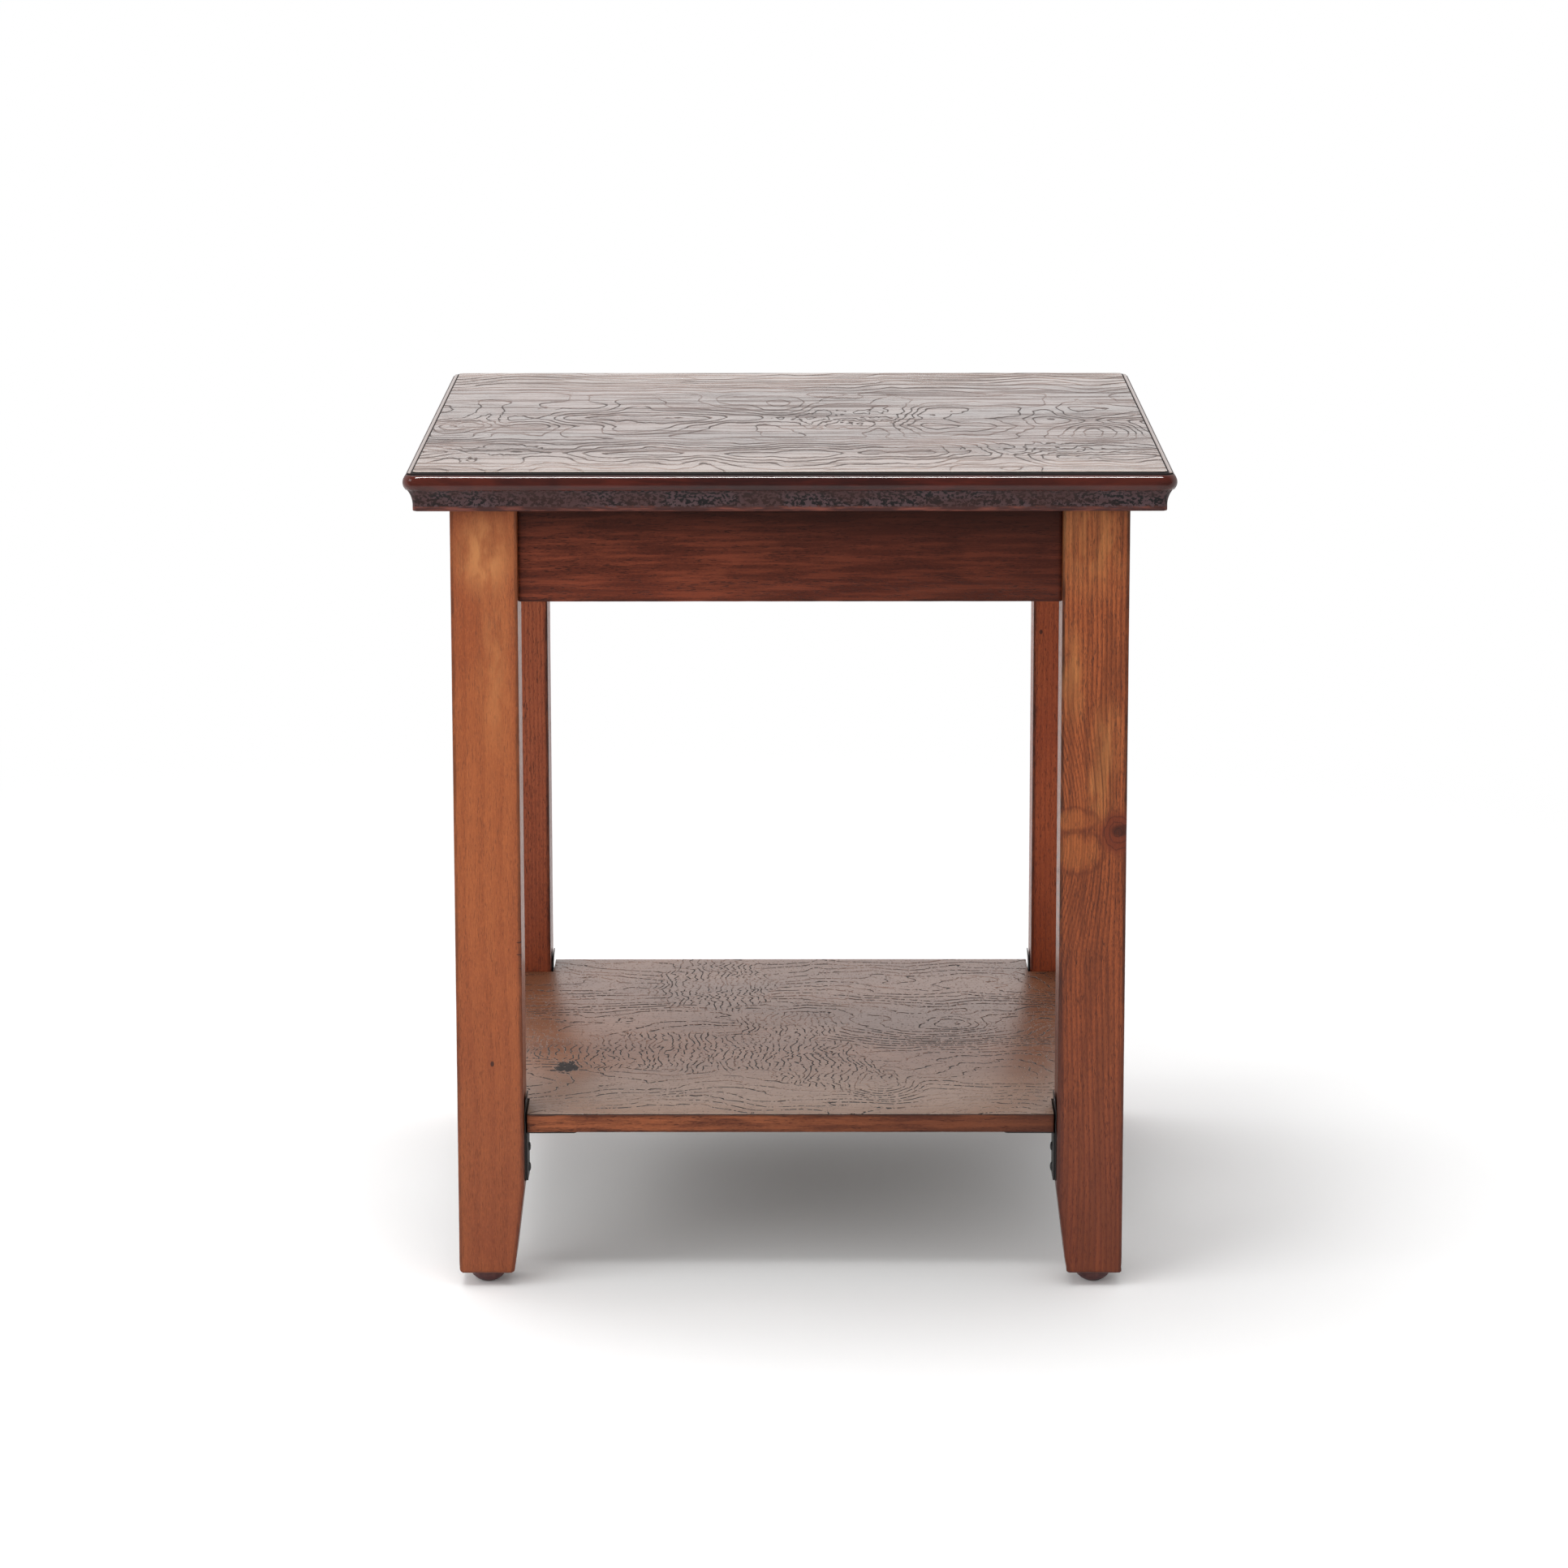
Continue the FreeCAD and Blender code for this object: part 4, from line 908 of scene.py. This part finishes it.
def shelf_face_wood():
    """Burled veneer: fine dark broken lines that run round eyes, and bands of short upright strokes."""
    finish = Finish("shelf_veneer_lacquer")
    place = finish.place("x")
    squat = place.scale(1.0, 0.4, 1.0)

    def flow_at(at):
        field = at.across * 0.075 + at.noise(95, 1.5, 1.0) * 11.0 + at.noise(27, 1.5, 2.0, 0.5, 8.0, 0.3) * 2.6
        for x, y, width, reach, lines in BURL_EYES:
            field += at.spot((x, y, SHELF_HEIGHT), (width, reach, 50)) * lines
        return field

    def upright_at(at):
        return at.along * 0.2 + at.noise(30, 1.0, 2.0, 0.6, 8.0, 0.6) * 5.0

    bands = 0.0
    for x, y, width, reach in STROKE_BANDS:
        bands = place.spot((x, y, SHELF_HEIGHT), (width, reach, 50)).larger(bands)
    bands = (bands + (place.noise(26, 1.4, 2.0, 0.6, 44.0) - 0.5) * 0.9).span(0.16, 0.34)
    flow, _ = finish.engraved(flow_at, place, (1.1, 2.8))
    strokes, _ = finish.engraved(upright_at, place, (1.2, 2.8))
    broken = place.scale(1.0, 0.35, 1.0).noise(2.6, 1.0, 2.0, 0.6, 5.0).span(0.4, 0.5)
    where = place.noise(34, 1.6, 2.0, 0.5, 51.0).span(0.34, 0.56, 0.4, 1.0)
    blot = place.spot((-156, -96, SHELF_HEIGHT), (26, 44, 50)) * squat.noise(4.5, 1.0, 3.0, 0.8, 2.0, 0.6)
    dash = (flow * bands.fall(0.0, 1.0) + strokes * bands) * broken * where
    dash = dash.larger(blot.span(0.36, 0.44))
    pores = squat.noise(1.3, 1.2, 2.0, 0.6, 29.0).span(0.56, 0.72)
    fibre = place.noise(1.8, 6.0, 3.0, 0.6)
    cloud = place.noise(70, 1.6, 2.0, 0.5, 77.0, 0.5)
    rim = finish.rise().fall(SHELF_HEIGHT - 0.3, SHELF_HEIGHT - 0.15)
    colour = finish.coats(
        (126, 80, 54),
        (cloud.span(0.3, 0.7), (146, 98, 70)),
        # Paler and greyer towards the front: painted sheen.
        (place.across.span(-40, -190, 0.0, 0.68), (166, 140, 122)),
        (fibre.span(0.4, 0.7, 0.0, 0.3), (84, 54, 42)),
        (dash.span(0.3, 0.9).larger(pores * 0.4), (34, 22, 18)),
        (rim, (24, 13, 10)))
    relief = fibre * 0.1 - dash - pores * 0.3
    rough = dash * 0.5 + pores * 0.2 + fibre * 0.1 + rim * 0.5 + 0.27
    return finish.surface(colour, rough, relief, 0.75, 0.62)


def moulding_wood(low):
    """Dark red-brown stain, rubbed black and speckled in the cove, redder again at the foot. The step under
    the veneer is painted dark as shade, and its side ledges are glossier and painted pale as sheen, up to a
    line of painted shadow at the veneer."""
    finish = Finish("moulding_distressed_stain")
    place = finish.place("x")
    height = finish.rise() - low / MM
    streak = place.noise(3.0, 9.0, 3.0, 0.6)
    cloud = place.noise(26.0, 2.0, 3.0, 0.6, 9.0, 0.4)
    speck = place.noise(1.8, 1.3, 2.0, 0.6, 3.0)
    side, front = abs(place.along), abs(place.across)
    level = height + (speck - 0.5) * 3.0
    # The ledge's upright face under the veneer is painted near black as shade, and made rough.
    step, ledge = height.span(24.15, 24.35), height.span(25.3, 25.4)
    # On the side ledges the varnish is smoother, and the colour is painted pale as sheen.
    polished_sheen = ledge * (side - front).span(-1, 1)
    # A dark line on the ledges next to the veneer: painted shadow of the gap between them.
    gap_shadow = ledge * (side.larger(front) - speck * 0.8).fall(248.1, 248.6)
    nose = finish.coats(
        (50, 21, 18),
        (side.span(40, 235), (76, 33, 25)),
        (streak.span(0.38, 0.68, 0.0, 0.6), (86, 34, 26)),
        (cloud.span(0.42, 0.66, 0.0, 0.7), (44, 22, 21)))
    cove = finish.coats(
        (10, 5, 6),
        (speck.span(0.45, 0.56), (76, 55, 58)),
        (cloud.span(0.44, 0.62, 0.0, 0.55), (60, 28, 22)))
    colour = finish.coats(
        (60, 28, 24),
        (streak.span(0.4, 0.65), (112, 58, 46)),
        (level.span(2.3, 4.0), cove),
        (level.span(13.6, 14.6), nose),
        (step * 0.95, (16, 8, 7)),
        (polished_sheen, (120, 92, 80)),
        (gap_shadow, (16, 8, 7)))
    relief = (streak * 0.3 + speck * 0.5) * level.span(13.6, 14.8, 3.0, 0.2)
    rough = level.span(13.6, 14.8, 0.55, 0.06) + speck * 0.04 + step * 0.9 - polished_sheen * 0.85 + gap_shadow * 0.9
    return finish.surface(colour, rough, relief, 0.05, 0.32)


def plain_metal(name, colour, roughness, metallic=0.0):
    finish = Finish(name)
    place = finish.place("z")
    grime = place.noise(2.5, 1.0, 3.0, 0.6)
    scratch = place.noise(0.6, 12.0, 2.0, 0.6, 4.0)
    shown = finish.coats(colour, (grime.span(0.35, 0.7, 0.0, 0.5), shade(colour, 0.6)))
    return finish.surface(shown, scratch * 0.15 + roughness, scratch, 0.02, metallic=metallic)


def moulded_plastic():
    finish = Finish("glide_brown_plastic")
    place = finish.place("z")
    scuff = place.noise(4.0, 1.0, 3.0, 0.6)
    colour = finish.coats((72, 34, 34), (scuff.span(0.4, 0.7), (92, 50, 46)))
    return finish.surface(colour, scuff * 0.2 + 0.4, place.noise(0.8), 0.03)


# Each leg's light, middle and dark stain, how dark its arrises, late growth and pores are, and how far apart
# and how swelling its growth lines are.
LEGS = {
    "front_left": ((160, 88, 48), (147, 76, 41), (125, 60, 32), 0.5, 0.3, 0.35, 11.0, 3.0),
    "front_right": ((162, 85, 44), (145, 72, 36), (88, 38, 20), 0.75, 0.7, 0.7, 3.4, 5.0),
    "rear_left": ((158, 83, 51), (142, 69, 41), (108, 46, 28), 0.75, 0.5, 0.7, 3.0, 4.0),
    "rear_right": ((170, 82, 44), (156, 70, 37), (116, 50, 26), 0.75, 0.4, 0.7, 4.0, 4.0),
}
# The knot of the front right leg: its height, and how far it is from the table's middle.
KNOT_HEIGHT, KNOT_ACROSS = 316.5, 220


def front_spot(stick, height, across, reach, width, depth=30):
    """A patch on a leg's front face."""
    return stick.spot((height, across, -LEG_FACE), (reach, width, depth))


def mark_front_left(finish, stick, patchy, colour, relief):
    """Pale grain near the top, a split and a small dent."""
    for share, *where in ((0.75, 506, -203, 38, 26, 40), (0.3, 430, -196, 90, 16, 40)):
        glow = front_spot(stick, *where) * patchy.span(0.35, 0.6, 0.3, 1.0) * share
        colour = finish.coats(colour, (glow, (206, 140, 84)))
    split = (stick.along * 0.11 + patchy * 0.8).contour(0.09) * front_spot(stick, 237, -180.5, 26, 5.5, 9)
    mark = split.larger(front_spot(stick, 157, -201, 3.4, 2.2, 6) * 0.8)
    return finish.coats(colour, (mark.span(0.15, 0.5, 0.0, 0.9), (52, 26, 18))), relief - mark * 1.5


def mark_front_right(finish, stick, place, field, near, patchy, colour):
    """A knot with lobes beside it, grain that fans out above and below it, and pale grain further up."""
    for share, *where in ((0.4, 424, 189, 46, 13), (0.5, 378, 211, 38, 15), (0.4, 345, 206, 30, 16),
                          (0.4, 520, 200, 60, 40)):
        glow = front_spot(stick, *where) * patchy.span(0.35, 0.62, 0.25, 1.0) * share
        colour = finish.coats(colour, (glow, (204, 138, 78)))
    vein = place.noise(6.0, 16.0, 2.0, 0.55, 14.0).span(0.45, 0.6, 0.0, 0.4)
    colour = finish.coats(colour, (vein, (92, 42, 22)))
    fan = (field * 0.45).contour(0.14)
    for share, *where in ((0.8, 288, 206, 50, 30), (0.6, 352, 208, 50, 30)):
        colour = finish.coats(colour, (fan * front_spot(stick, *where) * share, (66, 30, 18)))
    for where in ((325, 190, 11, 19), (303, 193, 19, 21)):
        lobe = front_spot(stick, *where) * patchy.span(0.25, 0.75, 0.4, 1.6)
        rim = lobe.span(0.02, 0.08) * lobe.fall(0.1, 0.28)
        colour = finish.coats(colour, (lobe.span(0.0, 0.7, 0.0, 0.22), (190, 114, 58)), (rim * 0.45, (92, 42, 22)))
    core = (near + (patchy - 0.5) * 0.5).fall(0.6, 1.1)
    rings = (near * 4.0 + patchy * 2.5).contour(0.2)
    eye = front_spot(stick, 318, 221, 7, 11, 9).span(0.1, 0.7)
    seam = (stick.across + patchy * 4).span(183, 189.5, 0.5, 0.0) * stick.along.fall(200, 260)
    return finish.coats(colour, (core * 0.85, (106, 44, 25)), (core * rings * 0.55, (56, 24, 15)),
                        (eye * 0.7, (50, 22, 15)), (seam, (62, 28, 22)))


def leg_finish(corner):
    """Each leg is its own stick: the same stain over different figure, knots and marks."""
    side_x, side_y = CORNERS[corner]
    finish = Finish("leg_stain_" + corner)
    stick = finish.place("z")
    place = stick.shift(side_x * 203, side_y * 230, 100 * side_x)
    across = stick.across
    if corner == "front_right":
        near = stick.shift(-KNOT_HEIGHT, -KNOT_ACROSS, LEG_FACE).scale(1 / 17, 1 / 16, 1 / 18).length()
        pinch = abs(stick.along - KNOT_HEIGHT).span(6, 95, 1.7, 1.0)
        across = (across - KNOT_ACROSS) * pinch
    *stain, gap, swell = LEGS[corner]
    field = growth_lines(place, across, gap, swell=swell)
    colour, relief, rough = wood_layers(finish, place, field, *stain)
    patchy = place.noise(11, 2.5, 3.0, 0.6, 55.0, 0.3)
    foot = (stick.along + patchy * 60).span(60, 330, 0.62 if side_x > 0 else 0.34, 0.0)
    colour = finish.coats(colour, (foot, (88, 35, 22)))
    if corner == "front_left":
        colour, relief = mark_front_left(finish, stick, patchy, colour, relief)
    if corner == "front_right":
        colour = mark_front_right(finish, stick, place, field, near, patchy, colour)
    if corner == "rear_right":
        mark = stick.spot((379, 186, 180.5), (3.0, 2.2, 6)).span(0.2, 0.6, 0.0, 0.8)
        colour = finish.coats(colour, (mark, (50, 24, 16)))
    return finish.surface(colour, rough + 0.3, relief, 0.05, 0.3)


# ---- the whole table


make_camera()
make_lamps()
make_world()
make_floor()

make_top(moulding_wood(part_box("top_board")[0].z), top_face_wood())
for corner in CORNERS:
    make_leg(corner, leg_finish(corner))
# The aprons take painted shade of the top's overhang from 502 to 534 mm above the floor.
apron = dict(light=(118, 56, 36), middle=(102, 45, 29), dark=(68, 27, 18), gap=5.0, size=40.0, swell=5.0,
             level=0.18, overhang_shade=(502, 534))
# The aprons darken towards their right or rear ends: painted shade, partly a darker stain.
for side, along in EDGES.items():
    stain = stained("apron_stain_" + side, along, (7, 3, 11), stain_and_shade_fade=0.6 if along == "x" else 0.2, **apron)
    make_board("apron_board_" + side, "apron_" + side, "frame", stain, 0.9, along)
strip = dict(light=(142, 81, 51), middle=(125, 67, 39), dark=(82, 39, 25), gap=3.5, size=20.0, swell=4.0,
             level=0.2)
# The shelf's strips darken towards their right or rear ends too: painted shade, partly a darker stain.
strips = {along: stained("shelf_strip_stain_" + along, along, (5, 0, 2), stain_and_shade_fade=0.65, **strip) for along in "xy"}
core = raw_wood("shelf_core_board", "x", (96, 84, 74), (70, 58, 50))
make_shelf(shelf_face_wood(), core, strips)
make_glides(moulded_plastic())

pine = raw_wood("block_pine", "z", (196, 160, 116), (150, 110, 70))
beech = raw_wood("dowel_beech", "x", (210, 178, 130), (170, 130, 90))
black_steel = plain_metal("bracket_black_steel", (34, 33, 33), 0.42)
spring_steel = plain_metal("leaf_black_oxide", (30, 29, 30), 0.36)
zinc = plain_metal("zinc_plate", (190, 190, 186), 0.3, 1.0)
yellow_zinc = plain_metal("yellow_zinc_plate", (196, 182, 140), 0.32, 1.0)
for corner in CORNERS:
    eased_copy("glue_block_" + corner, "corner_block_" + corner, "frame", pine, 0.6)
    eased_copy("angle_bracket_" + corner, "shelf_bracket_" + corner, "frame", black_steel, 0.2)
    make_leaf(corner, spring_steel)

# These three keep the shapes of their solids.
for node, material in (("apron_dowels", beech), ("hanger_bolts", zinc), ("glide_nails", zinc)):
    dress(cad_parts[node], material)
eased_copy("plain_washers", "hanger_washers", "frame", zinc, 0.15, 1)
eased_copy("hexagon_nuts", "hanger_nuts", "frame", zinc, 0.3, 1)
make_all_screws(yellow_zinc, spring_steel)

scene.view_settings.view_transform = "Standard"
